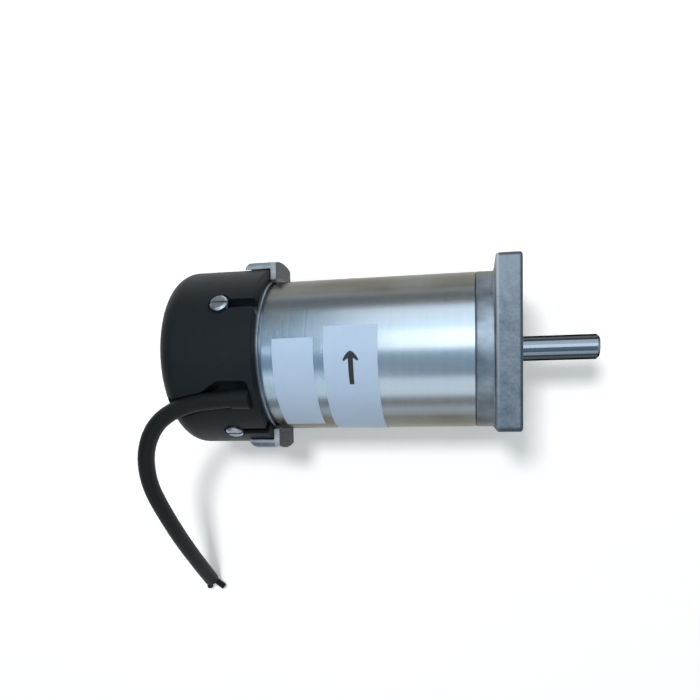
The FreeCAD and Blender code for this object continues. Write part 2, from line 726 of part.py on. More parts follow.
def rear_cover():
    inside = COVER_BORE
    lip = LIP_RADIUS
    lip_rear = f"{COVER_FRONT} - cover_wall"
    floor = COVER_FLOOR
    outer = turned("cover_outer", [
        (COVER_REAR, "0"), (COVER_FRONT, "0"), (COVER_FRONT, COVER_RADIUS), (COVER_REAR, COVER_RADIUS),
    ])
    dress(outer, "cover_edge_radius", circle_at(COVER_REAR, COVER_RADIUS))
    dress(outer, "cover_rim_radius", circle_at(COVER_FRONT, COVER_RADIUS))
    cavity = turned("cover_cavity", [
        (floor, "0"),
        (f"{COVER_FRONT} + 1", "0"),
        (f"{COVER_FRONT} + 1", lip),
        (lip_rear, lip),
        (lip_rear, inside),
        (floor, inside),
    ])
    dress(cavity, "cover_edge_radius - cover_wall", circle_at(floor, inside))
    shell = cut("cover_shell", outer, cavity)

    rib_rear = f"{SCREW_X} - cover_rib_width / 2"
    rib_length = "cover_screw_setback + cover_rib_width / 2"
    ribs = [block(f"rib_{number}", rib_rear, rib_length, "cover_rib_width", f"{lip} - 2", "cover_wall + 4", angle)
            for number, angle in enumerate(SCREW_ANGLES, start=1)]
    rib_ring = ring("rib_ring", lip, f"{COVER_RADIUS} - cover_wall / 2", rib_rear, rib_length)
    outlet_front = f"{OUTLET_FRONT} + outlet_wall"
    outlet_block = block("outlet_block", COVER_REAR, f"{outlet_front} - ({COVER_REAR})",
                         "outlet_width + 2 * outlet_wall", FLOOR_INNER, COVER_RADIUS,
                         "outlet_angle")
    solid = fuse("cover_solid", shell, common("cover_ribs", fuse("rib_blocks", *ribs), rib_ring),
                 common("outlet_walls", outlet_block, outer))

    stem_x = STEM_X
    slot_radius = "screw_radius + cover_slot_clearance"
    tools = [outlet_cutter(),
             spoke("stem_hole", f"{STEM_RADIUS} + boot_clearance", f"{FLOOR_INNER} - 1",
                   "outlet_wall + 2", stem_x, "outlet_angle")]
    for number, angle in enumerate(SCREW_ANGLES, start=1):
        tools.append(block(f"screw_slot_{number}", SCREW_X, "cover_screw_setback + 1",
                           f"2 * ({slot_radius})", f"{lip} - 2", f"{COVER_RADIUS} / 3", angle))
        tools.append(spoke(f"slot_end_{number}", slot_radius, f"{lip} - 2", f"{COVER_RADIUS} / 3", SCREW_X, angle))
        tools.append(spoke(f"counterbore_{number}", "counterbore_radius",
                           f"{COVER_RADIUS} - counterbore_depth", "counterbore_depth + 2", SCREW_X, angle))
    keep(cut("rear_cover_cut", solid, fuse("cover_tools", *tools)), "rear_cover")


def cover_screws():
    seat = f"{COVER_RADIUS} - counterbore_depth"
    straight = "screw_head_height - screw_head_rounding"
    screws = []
    for number, angle in enumerate(SCREW_ANGLES, start=1):
        shank = spoke(f"screw_shank_{number}", "screw_radius", f"{seat} - screw_length",
                      f"screw_length + ({straight}) / 2", SCREW_X, angle)
        head = spoke(f"screw_head_{number}", "screw_head_radius", seat, straight, SCREW_X, angle)
        crown = doc.addObject("Part::Cone", f"screw_crown_{number}")
        crown.Placement.Rotation = FreeCAD.Rotation(Vector(1, 0, 0), 1)
        y, z = around(f"{seat} + {straight}", angle)
        bind(crown, Radius1="screw_head_radius", Radius2="screw_head_radius - 1.5 * screw_head_rounding",
             Height="screw_head_rounding", Placement__Rotation__Angle=f"-({angle})")
        place(crown, SCREW_X, y, z)
        driver = block(f"screw_driver_{number}", f"{SCREW_X} - 2 * screw_head_radius", "4 * screw_head_radius",
                       "screw_slot_width", f"{seat} + screw_head_height - screw_slot_depth",
                       "screw_slot_depth + 1", angle)
        whole = fuse(f"screw_whole_{number}", shank, head, crown)
        screws.append(cut(f"cover_screw_{number}", whole, driver))
    keep(group("cover_screw_set", *screws), "cover_screws")


def cable_boot():
    y, z = around(CABLE_AXIS, "outlet_angle")
    foot = BOOT_FOOT
    stem_x = STEM_X
    sleeve_rear = f"{OUTLET_FRONT} - boot_length"
    sleeve = cylinder("boot_sleeve", BOOT_RADIUS, "boot_length", sleeve_rear, y, z)
    stem = spoke("boot_stem", STEM_RADIUS, foot, f"{CABLE_AXIS} - {foot}", stem_x, "outlet_angle")
    flange = spoke("boot_flange", "boot_flange_radius", foot, "boot_flange_thickness", stem_x, "outlet_angle")
    bore = cylinder("boot_bore", "cable_radius + boot_clearance", "boot_bore_depth + 1",
                    f"{sleeve_rear} - 1", y, z)
    keep(cut("boot_cut", fuse("boot_solid", sleeve, stem, flange), bore), "cable_boot")


# ---------------------------------------------------------------- bearings and rings

def bearing(end, bore, outer, width, ball_radius, front):
    """A sealed ball bearing: two grooved rings, balls, cage and shields."""
    pitch = f"({bore} + {outer}) / 2"
    shoulder = f"race_shoulder * {ball_radius}"
    middle = f"{front} - {width} / 2"
    rear = f"{front} - {width}"
    groove = doc.addObject("Part::Torus", f"{end}_groove")
    groove.Placement.Rotation = FreeCAD.Rotation(Vector(0, 1, 0), 90)
    bind(groove, Radius1=pitch, Radius2=f"{ball_radius} + groove_clearance")
    place(groove, middle)
    inner_ring = ring(f"{end}_inner_blank", bore, f"{pitch} - {shoulder}", rear, width)
    outer_ring = ring(f"{end}_outer_blank", f"{pitch} + {shoulder}", outer, rear, width)
    keep(cut(f"{end}_inner_grooved", inner_ring, groove), f"{end}_bearing_inner_ring")
    keep(cut(f"{end}_outer_grooved", outer_ring, groove), f"{end}_bearing_outer_ring")

    balls, pockets = [], []
    for number in range(int(value("ball_count"))):
        y, z = around(pitch, f"{number} * 360 / ball_count")
        balls.append(ball(f"{end}_ball_{number + 1}", ball_radius, middle, y, z))
        pockets.append(spoke(f"{end}_pocket_{number + 1}", f"{ball_radius} + groove_clearance",
                             f"{pitch} - cage_thickness", "2 * cage_thickness", middle,
                             f"{number} * 360 / ball_count"))
    keep(group(f"{end}_ball_set", *balls), f"{end}_bearing_balls")
    half_width = f"{ball_radius} + cage_margin"
    cage = ring(f"{end}_cage_blank", f"{pitch} - cage_thickness / 2", f"{pitch} + cage_thickness / 2",
                f"{middle} - ({half_width})", f"2 * ({half_width})")
    keep(cut(f"{end}_cage_cut", cage, fuse(f"{end}_pockets", *pockets)), f"{end}_bearing_cage")

    shields = [ring(f"{end}_shield_{number}", f"{pitch} - {shoulder} + shield_clearance",
                    f"{pitch} + {shoulder}", start, "shield_thickness")
               for number, start in enumerate((f"{front} - shield_inset - shield_thickness",
                                               f"{rear} + shield_inset"), start=1)]
    keep(group(f"{end}_shield_pair", *shields), f"{end}_bearing_shields")


def circlip(label, inner, outer, x, angle):
    """A spring ring that is open at one angle."""
    blank = ring(f"{label}_blank", inner, outer, x, "circlip_thickness")
    gap = block(f"{label}_gap", f"{x} - 1", "circlip_thickness + 2", "circlip_gap",
                f"({inner}) / 2", "circlip_width * 3", angle)
    keep(cut(f"{label}_cut", blank, gap), label)


def wave_washer():
    """A ring of thin strip whose surface rises and falls three times round."""
    thickness = value("wave_washer_thickness")
    swing = (value("wave_washer_height") - thickness) / 2
    middle = value(f"{BEARING_SHOULDER} + wave_washer_height / 2") - thickness / 2
    edges = []
    for radius in (value("rear_outer_radius - wave_washer_rim"), value("rear_outer_radius - seat_clearance")):
        curve = Part.BSplineCurve()
        points = []
        for step in range(36):
            turn = step * math.pi / 18
            points.append(Vector(middle + swing * math.cos(3 * turn),
                                 radius * math.sin(turn), radius * math.cos(turn)))
        curve.interpolate(Points=points, PeriodicFlag=True)
        edges.append(curve.toShape())
    strip = Part.makeRuledSurface(edges[0], edges[1])
    keep(shaped("wave_strip", strip.extrude(Vector(thickness, 0, 0))), "wave_washer")


# ---------------------------------------------------------------- tie bolts

def tie_bolts():
    bolts, washers = [], []
    seat = f"{END_WALL_REAR} - tie_washer_thickness"
    tip = f"{SPIGOT_REAR} + tie_thread_depth - 2"
    for number, angle in enumerate(TIE_ANGLES, start=1):
        y, z = around(TIE_CIRCLE, angle)
        shank = cylinder(f"tie_shank_{number}", "tie_bolt_radius", f"{tip} - ({seat})", seat, y, z)
        head = cylinder(f"tie_head_{number}", "tie_head_radius", "tie_head_height",
                        f"{seat} - tie_head_height", y, z)
        socket = doc.addObject("Part::Prism", f"tie_socket_{number}")
        socket.Placement.Rotation = FreeCAD.Rotation(Vector(0, 1, 0), 90)
        bind(socket, Circumradius="tie_hex_width / 2 / cos(30)", Height="tie_hex_depth + 1")
        place(socket, f"{seat} - tie_head_height - 1", y, z)
        bolts.append(cut(f"tie_bolt_{number}", fuse(f"tie_solid_{number}", shank, head), socket))
        disc = cylinder(f"tie_washer_{number}", "tie_head_radius + tie_washer_margin",
                        "tie_washer_thickness", seat, y, z)
        hole = cylinder(f"tie_washer_hole_{number}", "tie_hole_radius", "tie_washer_thickness + 2",
                        f"{seat} - 1", y, z)
        washers.append(cut(f"tie_washer_cut_{number}", disc, hole))
    keep(group("tie_bolt_pair", *bolts), "tie_bolts")
    keep(group("tie_washer_pair", *washers), "tie_bolt_washers")


# ---------------------------------------------------------------- rotor

def shaft():
    rear = f"{REAR_BEARING_REAR} - journal_end"
    groove_front = "circlip_thickness - front_bearing_setback"
    groove_radius = "shaft_radius - circlip_depth"
    keep(turned("shaft_turned", [
        (rear, "0"),
        (rear, "rear_bore_radius - joint_chamfer"),
        (f"{rear} + joint_chamfer", "rear_bore_radius"),
        (REAR_BEARING_FRONT, "rear_bore_radius"),
        (REAR_BEARING_FRONT, "shaft_core_radius"),
        (FRONT_BEARING_REAR, "shaft_core_radius"),
        (FRONT_BEARING_REAR, "shaft_radius"),
        ("-front_bearing_setback", "shaft_radius"),
        ("-front_bearing_setback", groove_radius),
        (groove_front, groove_radius),
        (groove_front, "shaft_radius"),
        ("shaft_length - shaft_chamfer", "shaft_radius"),
        ("shaft_length", "shaft_radius - shaft_chamfer"),
        ("shaft_length", "0"),
    ]), "shaft")


def slot_pattern(body, kind, points, x, length):
    """Pad or pocket one slot's outline from x, then repeat it round the shaft."""
    sketch = outline(body, body.Name + "_slot", "YZ_Plane", points)
    bind(sketch, AttachmentOffset__Base__z=x)
    feature = body.newObject("PartDesign::" + kind, body.Name + "_" + kind.lower())
    feature.Profile = sketch
    bind(feature, Length=length)
    pattern = body.newObject("PartDesign::PolarPattern", body.Name + "_pattern")
    pattern.Originals = [feature]
    pattern.Axis = (sketch, ["N_Axis"])
    pattern.Angle = 360
    bind(pattern, Occurrences="slot_count")
    body.Tip = pattern


def slotted(name, outer, x, length):
    """A round stack with the winding slots cut all round."""
    body = ring(name, "shaft_core_radius", outer, x, length)
    slot = [("-slot_root_width / 2", "slot_root_radius"), ("slot_root_width / 2", "slot_root_radius"),
            ("slot_top_width / 2", SLOT_TOP), ("slot_opening / 2", SLOT_TOP),
            ("slot_opening / 2", f"{CORE_RADIUS} + 1"), ("-slot_opening / 2", f"{CORE_RADIUS} + 1"),
            ("-slot_opening / 2", SLOT_TOP), ("-slot_top_width / 2", SLOT_TOP)]
    slot_pattern(body, "Pocket", slot, f"{x} + {length}", length)
    return body


def armature():
    keep(slotted("core_stack", CORE_RADIUS, CORE_REAR, f"{CORE_FRONT} - ({CORE_REAR})"), "armature_core")
    insulator_radius = f"{CORE_RADIUS} - insulator_thickness / 2"
    discs = [slotted("front_insulator", insulator_radius, CORE_FRONT, "insulator_thickness"),
             slotted("rear_insulator", insulator_radius, f"{CORE_REAR} - insulator_thickness",
                     "insulator_thickness")]
    keep(group("insulator_pair", *discs), "end_insulators")

    front = f"{CORE_FRONT} + insulator_thickness"
    rear = f"{CORE_REAR} - insulator_thickness"
    outside = f"{front} + winding_overhang"
    windings = ring("windings", "winding_bore", WINDING_RADIUS, front, "winding_overhang")
    dress(windings, "winding_rounding", circle_at(outside, WINDING_RADIUS))
    low, high = "slot_root_radius + slot_clearance", f"{SLOT_TOP} - slot_clearance"
    foot, head = "slot_root_width / 2 - slot_clearance", "slot_top_width / 2 - slot_clearance"
    bar = [(f"-({foot})", low), (foot, low), (head, high), (f"-({head})", high)]
    slot_pattern(windings, "Pad", bar, f"{rear} - winding_overhang / 2",
                 f"{front} - ({rear}) + winding_overhang")
    outside = f"{rear} - winding_overhang"
    turn_in(windings, "rear_winding", [
        (outside, "winding_bore"), (rear, "winding_bore"), (rear, WINDING_RADIUS), (outside, WINDING_RADIUS),
    ])
    keep(dress(windings, "winding_rounding", circle_at(outside, WINDING_RADIUS)), "armature_windings")


def commutator():
    hub_radius = "commutator_radius - segment_thickness"
    length = f"{COMMUTATOR_FRONT} - ({COMMUTATOR_REAR})"
    keep(ring("commutator_hub_turned", "shaft_core_radius", hub_radius, COMMUTATOR_REAR, length),
         "commutator_hub")
    blank = turned("segments_turned", [
        (COMMUTATOR_REAR, hub_radius),
        (COMMUTATOR_FRONT, hub_radius),
        (COMMUTATOR_FRONT, "riser_radius"),
        (f"{COMMUTATOR_FRONT} - riser_length", "riser_radius"),
        (f"{COMMUTATOR_FRONT} - riser_length", "commutator_radius"),
        (COMMUTATOR_REAR, "commutator_radius"),
    ])
    slits = [block(f"segment_slit_{number + 1}", f"{COMMUTATOR_REAR} - 1", f"{length} + 2",
                   "segment_spacing", f"{hub_radius} - 1", "segment_thickness + riser_length + 1",
                   f"{number} * 360 / segment_count") for number in range(int(value("segment_count")))]
    keep(cut("segments_cut", blank, fuse("segment_slits", *slits)), "commutator_bars")


# ---------------------------------------------------------------- brush gear

def brush_plate():
    plate_rear = END_WALL_FRONT
    plate = ring("plate_turned", HOLDER_FOOT, f"{SKIRT_BORE} - brush_plate_clearance", plate_rear, "brush_plate_thickness")
    tools = []
    for number, angle in enumerate(TIE_ANGLES, start=1):
        y, z = around(TIE_CIRCLE, angle)
        tools.append(cylinder(f"plate_notch_end_{number}", "brush_plate_notch", "brush_plate_thickness + 2",
                              f"{plate_rear} - 1", y, z))
        tools.append(block(f"plate_notch_{number}", f"{plate_rear} - 1", "brush_plate_thickness + 2",
                           "2 * brush_plate_notch", TIE_CIRCLE, "2 * brush_plate_notch", angle))
    heads, shanks = [], []
    for number, angle in enumerate(PLATE_SCREW_ANGLES, start=1):
        y, z = around(PLATE_SCREW_CIRCLE, angle)
        tools.append(cylinder(f"plate_hole_{number}", "plate_screw_radius + boot_clearance",
                              "brush_plate_thickness + 2", f"{plate_rear} - 1", y, z))
        shanks.append(cylinder(f"plate_shank_{number}", "plate_screw_radius", "plate_screw_length",
                               f"{PLATE_FRONT} - plate_screw_length", y, z))
        heads.append(cylinder(f"plate_head_{number}", "plate_head_radius", "plate_head_height",
                              PLATE_FRONT, y, z))
    keep(cut("plate_cut", plate, fuse("plate_tools", *tools)), "brush_plate")
    screws = [fuse(f"plate_screw_{number}", head, shank)
              for number, (head, shank) in enumerate(zip(heads, shanks), start=1)]
    keep(group("plate_screw_set", *screws), "brush_plate_screws")


def moved(shape, angle, x, height):
    """A copy of a shape that was made on the Z axis, shifted and then turned about the shaft."""
    copy = shape.copy()
    copy.translate(Vector(x, 0, height))
    copy.rotate(Vector(0, 0, 0), Vector(1, 0, 0), -value(angle))
    return copy


def brush_set(number, angle, hand):
    """One brush with its holder, spring, terminal and flexible tail; hand is +1 or -1."""
    inside_width = "brush_width + 2 * holder_clearance"
    inside_depth = "brush_depth + 2 * holder_clearance"
    outer_box = block(f"holder_outer_{number}", PLATE_FRONT, f"{inside_depth} + 2 * holder_wall",
                      f"{inside_width} + 2 * holder_wall", HOLDER_FOOT, HOLDER_LENGTH, angle)
    inner_box = block(f"holder_inner_{number}", f"{PLATE_FRONT} + holder_wall", inside_depth, inside_width,
                      f"{HOLDER_FOOT} - 1", f"{HOLDER_LENGTH} + 1 - holder_wall", angle)
    tail_hole = spoke(f"holder_hole_{number}", "holder_hole_radius", f"{HOLDER_TOP} - holder_wall - 1",
                      "holder_wall + 2", BRUSH_MIDDLE, angle)
    keep(cut(f"holder_cut_{number}", outer_box, fuse(f"holder_tools_{number}", inner_box, tail_hole)),
         f"brush_holder_{number}")

    carbon = block(f"carbon_block_{number}", BRUSH_REAR, "brush_depth", "brush_width",
                   f"{BRUSH_FOOT} - 1", f"{BRUSH_TOP} - {BRUSH_FOOT} + 1", angle)
    face = cylinder(f"brush_face_{number}", BRUSH_FOOT, "brush_depth + 2", f"{BRUSH_REAR} - 1")
    keep(cut(f"carbon_cut_{number}", carbon, face), f"carbon_brush_{number}")

    offset = f"{hand} * {TERMINAL_OFFSET}"
    keep(block(f"terminal_{number}", PLATE_FRONT, "terminal_width", "terminal_thickness",
               f"{TERMINAL_RADIUS} - terminal_height", "terminal_height", angle, offset), f"brush_terminal_{number}")

    wire = value("spring_wire_radius")
    coil = value("spring_coil_radius")
    foot = value(BRUSH_TOP) + wire
    top = value(f"{HOLDER_TOP} - holder_wall") - wire
    helix = Part.makeLongHelix((top - foot) / value("spring_turns"), top - foot, coil)
    section = Part.Wire([Part.makeCircle(wire, Vector(coil, 0, 0), Vector(0, 1, 0))])
    spring = Part.Wire(helix.Edges).makePipeShell([section], True, True)
    middle = value(BRUSH_MIDDLE)
    keep(shaped(f"spring_{number}", moved(spring, angle, middle, foot)), f"brush_spring_{number}")

    start = value(BRUSH_TOP)
    crest = value(f"{HOLDER_TOP} + pigtail_rise")
    end = value(TERMINAL_RADIUS)
    side = value(offset)
    points = [Vector(0, 0, start), Vector(0, 0, crest), Vector(0, side, crest), Vector(0, side, end)]
    bend = value("2 * pigtail_radius")
    tail, _, _ = tube_along(points, value("pigtail_radius"), bend)
    keep(shaped(f"pigtail_{number}", moved(tail, angle, middle, 0)), f"brush_pigtail_{number}")




def capacitor():
    height = CAPACITOR_HEIGHT
    body = doc.addObject("PartDesign::Body", "capacitor_body")
    half = "capacitor_length / 2"
    low, high = f"{height} - capacitor_thickness / 2", f"{height} + capacitor_thickness / 2"
    sketch = outline(body, "capacitor_outline", "YZ_Plane",
                     [(f"-{half}", low), (half, low), (half, high), (f"-{half}", high)])
    bind(sketch, AttachmentOffset__Base__z=PLATE_FRONT)
    pad = body.newObject("PartDesign::Pad", "capacitor_pad")
    pad.Profile = sketch
    bind(pad, Length="capacitor_depth")
    body.Tip = pad
    dress(body, "capacitor_edge_radius", straight_along_shaft)

    x = value(f"{PLATE_FRONT} + capacitor_lead_height")
    level, reach = value(height), value(f"{TERMINAL_RADIUS} - terminal_height / 2")
    bottom = value(f"{TERMINAL_OFFSET} + terminal_thickness / 2")
    wires = [body]
    for number, side in enumerate((1, -1), start=1):
        points = [Vector(x, side * value(half), level), Vector(x, side * reach, level),
                  Vector(x, side * reach, bottom)]
        wire, _, _ = tube_along(points, value("capacitor_lead_radius"), value("lead_bend"))
        wires.append(shaped(f"capacitor_wire_{number}", wire))
    keep(group("capacitor_group", *wires), "suppression_capacitor")


def motor_leads():
    angle = math.radians(value("outlet_angle"))
    outward = Vector(0, math.sin(angle), math.cos(angle))
    across = Vector(0, math.cos(angle), -math.sin(angle))
    foot = value(BOOT_FOOT)
    stem = Vector(value(STEM_X), 0, 0)
    terminal_x = value(f"{PLATE_FRONT} + terminal_width")
    level, reach = value(TERMINAL_OFFSET), value(f"{TERMINAL_RADIUS} - terminal_height / 4")
    crossing = value(f"{TIE_CIRCLE} - tie_bolt_radius - lead_radius - cover_clearance")
    turn_x = value(f"{OUTLET_FRONT} - boot_stem_setback - lead_crossing")
    for number, side in (("1", 1), ("2", -1)):
        start = stem + outward * foot + across * (side * value("lead_spacing / 2"))
        points = [start, start - outward * value("lead_drop")]
        if side > 0:
            points.append(Vector(turn_x, 0, crossing))
            points.append(Vector(turn_x, reach * 0.8, crossing * 0.8))
        points.append(Vector(turn_x, side * reach, 2 * level))
        points.append(Vector(terminal_x + value("lead_run"), side * reach, level))
        points.append(Vector(terminal_x, side * reach, level))
        lead, _, _ = tube_along(points, value("lead_radius"), value("lead_bend"))
        keep(shaped(f"lead_{number}", lead), f"motor_lead_{number}")


# ---------------------------------------------------------------- labels and cable

def label(name, rear, width, top, bottom):
    """A strip of film that lies on the tube between two angles."""
    strip = turned(f"{name}_strip", [
        (rear, "tube_radius"), (f"{rear} + {width}", "tube_radius"),
        (f"{rear} + {width}", "tube_radius + label_thickness"), (rear, "tube_radius + label_thickness"),
    ], f"{top} - {bottom}", "XZ_Plane")
    strip.Placement.Rotation = FreeCAD.Rotation(Vector(1, 0, 0), 1)
    bind(strip, Placement__Rotation__Angle=f"-({top} + {bottom}) / 2")
    keep(strip, name)


CABLE_ROUTE = [
    (-106.2, -18.6, 31.5),
    (-120.8, -18.6, 31.5),
    (-136.0, -22.2, 31.0),
    (-146.1, -28.8, 29.3),
    (-152.7, -40.1, 25.6),
    (-155.2, -54.5, 18.6),
    (-153.5, -70.0, 7.6),
    (-151.3, -89.8, -9.5),
    (-150.3, -109.8, -32.4),
]
CORE_TIPS = [(1.0, -4.6, -2.5), (6.3, -3.9, -1.5)]


def motor_cable():
    """The cable's sheath along its route, from the boot to its cut end."""
    points = [Vector(*point) for point in CABLE_ROUTE]
    y, z = around(CABLE_AXIS, "outlet_angle")
    points[0] = Vector(value(f"{OUTLET_FRONT} - boot_length + boot_bore_depth"), value(y), value(z))
    points[1] = Vector(points[1].x, value(y), value(z))
    radius = value("cable_radius")
    sheath, length, radii = tube_along(points, radius)
    print("cable arcs, radii in mm:", [round(bend, 1) for bend in radii])
    expected = math.pi * radius ** 2 * length
    print("cable length", round(length, 1), "volume", round(sheath.Volume, 1), "section x length",
          round(expected, 1))
    keep(shaped("cable_sheath", sheath), "motor_cable")

    end = points[-1]
    run = end - points[-2]
    run.normalize()
    sideways = run.cross(Vector(0, 0, 1))
    sideways.normalize()
    wires = []
    for number, tip in enumerate(CORE_TIPS):
        side = sideways * ((1 if number else -1) * value("core_wire_spacing") / 2)
        way = Vector(*tip)
        way.normalize()
        root = end + side
        points = [root, root + run * value("core_wire_radius"), root + way * value("core_wire_length")]
        wire, _, _ = tube_along(points, value("core_wire_radius"), value("core_wire_radius"))
        wires.append(shaped(f"core_wire_{number + 1}", wire))
    keep(group("core_wires", *wires), "cable_cores")


# ---------------------------------------------------------------- build, check and write

def check_all():
    doc.recompute()
    for thing in doc.Objects:
        bad = [state for state in thing.State if state in ("Invalid", "Error")]
        if bad:
            raise RuntimeError(f"{thing.Name} is {bad}")
    for part in PARTS:
        if part.Shape.isNull() or not part.Shape.isValid() or not part.Shape.Solids:
            raise RuntimeError(f"{part.Label} has no valid shape")


front_housing()
motor_tube()
field_magnets()
magnet_clips()
rear_housing()
rear_cover()
cover_screws()
cable_boot()
bearing("front", "front_bore_radius", "front_outer_radius", "front_bearing_width", "front_ball_radius",
        "-front_bearing_setback")
bearing("rear", "rear_bore_radius", "rear_outer_radius", "rear_bearing_width", "rear_ball_radius",
        REAR_BEARING_FRONT)
circlip("bearing_circlip", "front_outer_radius + circlip_depth - circlip_width",
        "front_outer_radius + circlip_depth", f"{FRONT_BEARING_REAR} - circlip_thickness", "180")
circlip("shaft_circlip", "shaft_radius - circlip_depth", "shaft_radius - circlip_depth + circlip_width",
        "-front_bearing_setback", "180")
wave_washer()
tie_bolts()
shaft()
armature()
commutator()
brush_plate()
brush_set("1", "90", "-1")
brush_set("2", "-90", "1")
capacitor()
motor_leads()
label("plain_label", PLAIN_LABEL_REAR, "plain_label_width", "plain_label_top_angle", "plain_label_bottom_angle")
label("arrow_label", ARROW_LABEL_REAR, "arrow_label_width", "arrow_label_top_angle", "arrow_label_bottom_angle")
motor_cable()
check_all()

os.makedirs("parts", exist_ok=True)
for part in PARTS:
    part.Shape.exportStep(f"parts/{part.Label}.step")
print(len(PARTS), "sub-parts written")
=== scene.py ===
# %% [markdown]
# # An electric motor with a square flange
#
# The CAD model is the frame: every piece already lies where it belongs, in metres. Blender adds
# what the eye needs: the finish of each metal, the grain of the plastic, the arrow on the label
# and the supply cable. The lesson goes from the camera to the light, then finish by finish, and
# ends with the few pieces that a solid model can't show well.

# %% Load the frame
import math

import bmesh
import bpy
from mathutils import Matrix, Vector


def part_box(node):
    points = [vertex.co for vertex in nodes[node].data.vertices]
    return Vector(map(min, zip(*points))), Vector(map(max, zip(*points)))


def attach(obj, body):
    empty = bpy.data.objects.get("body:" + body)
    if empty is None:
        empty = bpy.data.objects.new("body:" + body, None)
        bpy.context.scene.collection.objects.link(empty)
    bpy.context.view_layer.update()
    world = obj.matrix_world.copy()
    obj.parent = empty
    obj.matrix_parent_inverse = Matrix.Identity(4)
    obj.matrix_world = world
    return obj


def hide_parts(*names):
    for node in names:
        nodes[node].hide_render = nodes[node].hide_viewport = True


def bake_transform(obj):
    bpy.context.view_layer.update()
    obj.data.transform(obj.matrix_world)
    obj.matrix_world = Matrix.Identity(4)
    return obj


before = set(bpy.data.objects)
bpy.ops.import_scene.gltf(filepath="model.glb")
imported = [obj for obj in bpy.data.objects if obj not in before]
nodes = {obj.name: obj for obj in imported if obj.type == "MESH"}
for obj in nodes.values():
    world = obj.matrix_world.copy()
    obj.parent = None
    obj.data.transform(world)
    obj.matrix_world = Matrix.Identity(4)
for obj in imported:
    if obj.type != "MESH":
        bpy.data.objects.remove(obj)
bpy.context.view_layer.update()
scene = bpy.context.scene
scene.view_settings.view_transform = "Standard"

# %% [markdown]
# ## Camera
#
# The motor lies on a table and is seen from above, with a wide lens close by, so that the two
# ends lean outwards. A camera can be aimed at a target, or be given its place and its three axes.
# The axes are used here, because a target would lose the small roll of a camera held by hand.

# %% Camera
view_data = bpy.data.cameras.new("camera")
view_data.lens = 32.52
view_data.sensor_width = 36.0
view_data.shift_x = -0.0036
view_data.shift_y = 0.1231
view_data.clip_start = 0.01
camera = bpy.data.objects.new("camera", view_data)
scene.collection.objects.link(camera)
right = (0.98159, -0.01635, -0.19030)
up = (0.00614, 0.99852, -0.05411)
back = (0.19090, 0.05194, 0.98023)
place = (-0.016996, -0.021065, 0.267772)
columns = (right, up, back, place)
rows = [[column[i] for column in columns] for i in range(3)]
camera.matrix_world = Matrix(rows + [[0, 0, 0, 1]])
scene.camera = camera
print("camera", round(place[2] * 1000), "mm above the shaft's axis")

# %% [markdown]
# ## Shader arithmetic
#
# A finish is a small program. Written as node after node it is hard to read, so one class wraps
# a socket and lets Python's own signs add the Math nodes, and one method adds any other node.
# Two of its words come back often: above and below turn a number into a soft mask from 0 to 1.

# %% A socket that does arithmetic
class Wire:
    """An output socket of a finish that takes part in arithmetic."""

    def __init__(self, finish, socket):
        self.finish, self.socket = finish, socket

    def math(self, operation, *others):
        inputs = dict(enumerate((self, *others)))
        return self.finish.node("ShaderNodeMath", {"operation": operation}, inputs)

    def __add__(self, other): return self.math("ADD", other)
    def __radd__(self, other): return self.math("ADD", other)
    def __sub__(self, other): return self.math("SUBTRACT", other)
    def __mul__(self, other): return self.math("MULTIPLY", other)
    def __rmul__(self, other): return self.math("MULTIPLY", other)
    def __truediv__(self, other): return self.math("DIVIDE", other)
    def __pow__(self, other): return self.math("POWER", other)

    def __rsub__(self, other):
        return self.finish.node("ShaderNodeMath", {"operation": "SUBTRACT"}, {0: other, 1: self})

    def size(self): return self.math("ABSOLUTE")
    def clamp(self): return self.finish.node("ShaderNodeClamp", {}, {"Value": self})
    def above(self, edge, soft): return ((self - edge) / soft + 0.5).clamp()
    def below(self, edge, soft): return ((self * -1 + edge) / soft + 0.5).clamp()


print("a socket now takes part in + - * / ** and in size, clamp, above and below")

# %% [markdown]
# ## A finish
#
# Every finish needs the same few things: a place to work from, noise, a mix of two colours, a
# bump and a Principled shader. They could be a node group, but a group can't take a number of
# inputs that changes. A class with one short method for each keeps the finishes below readable.

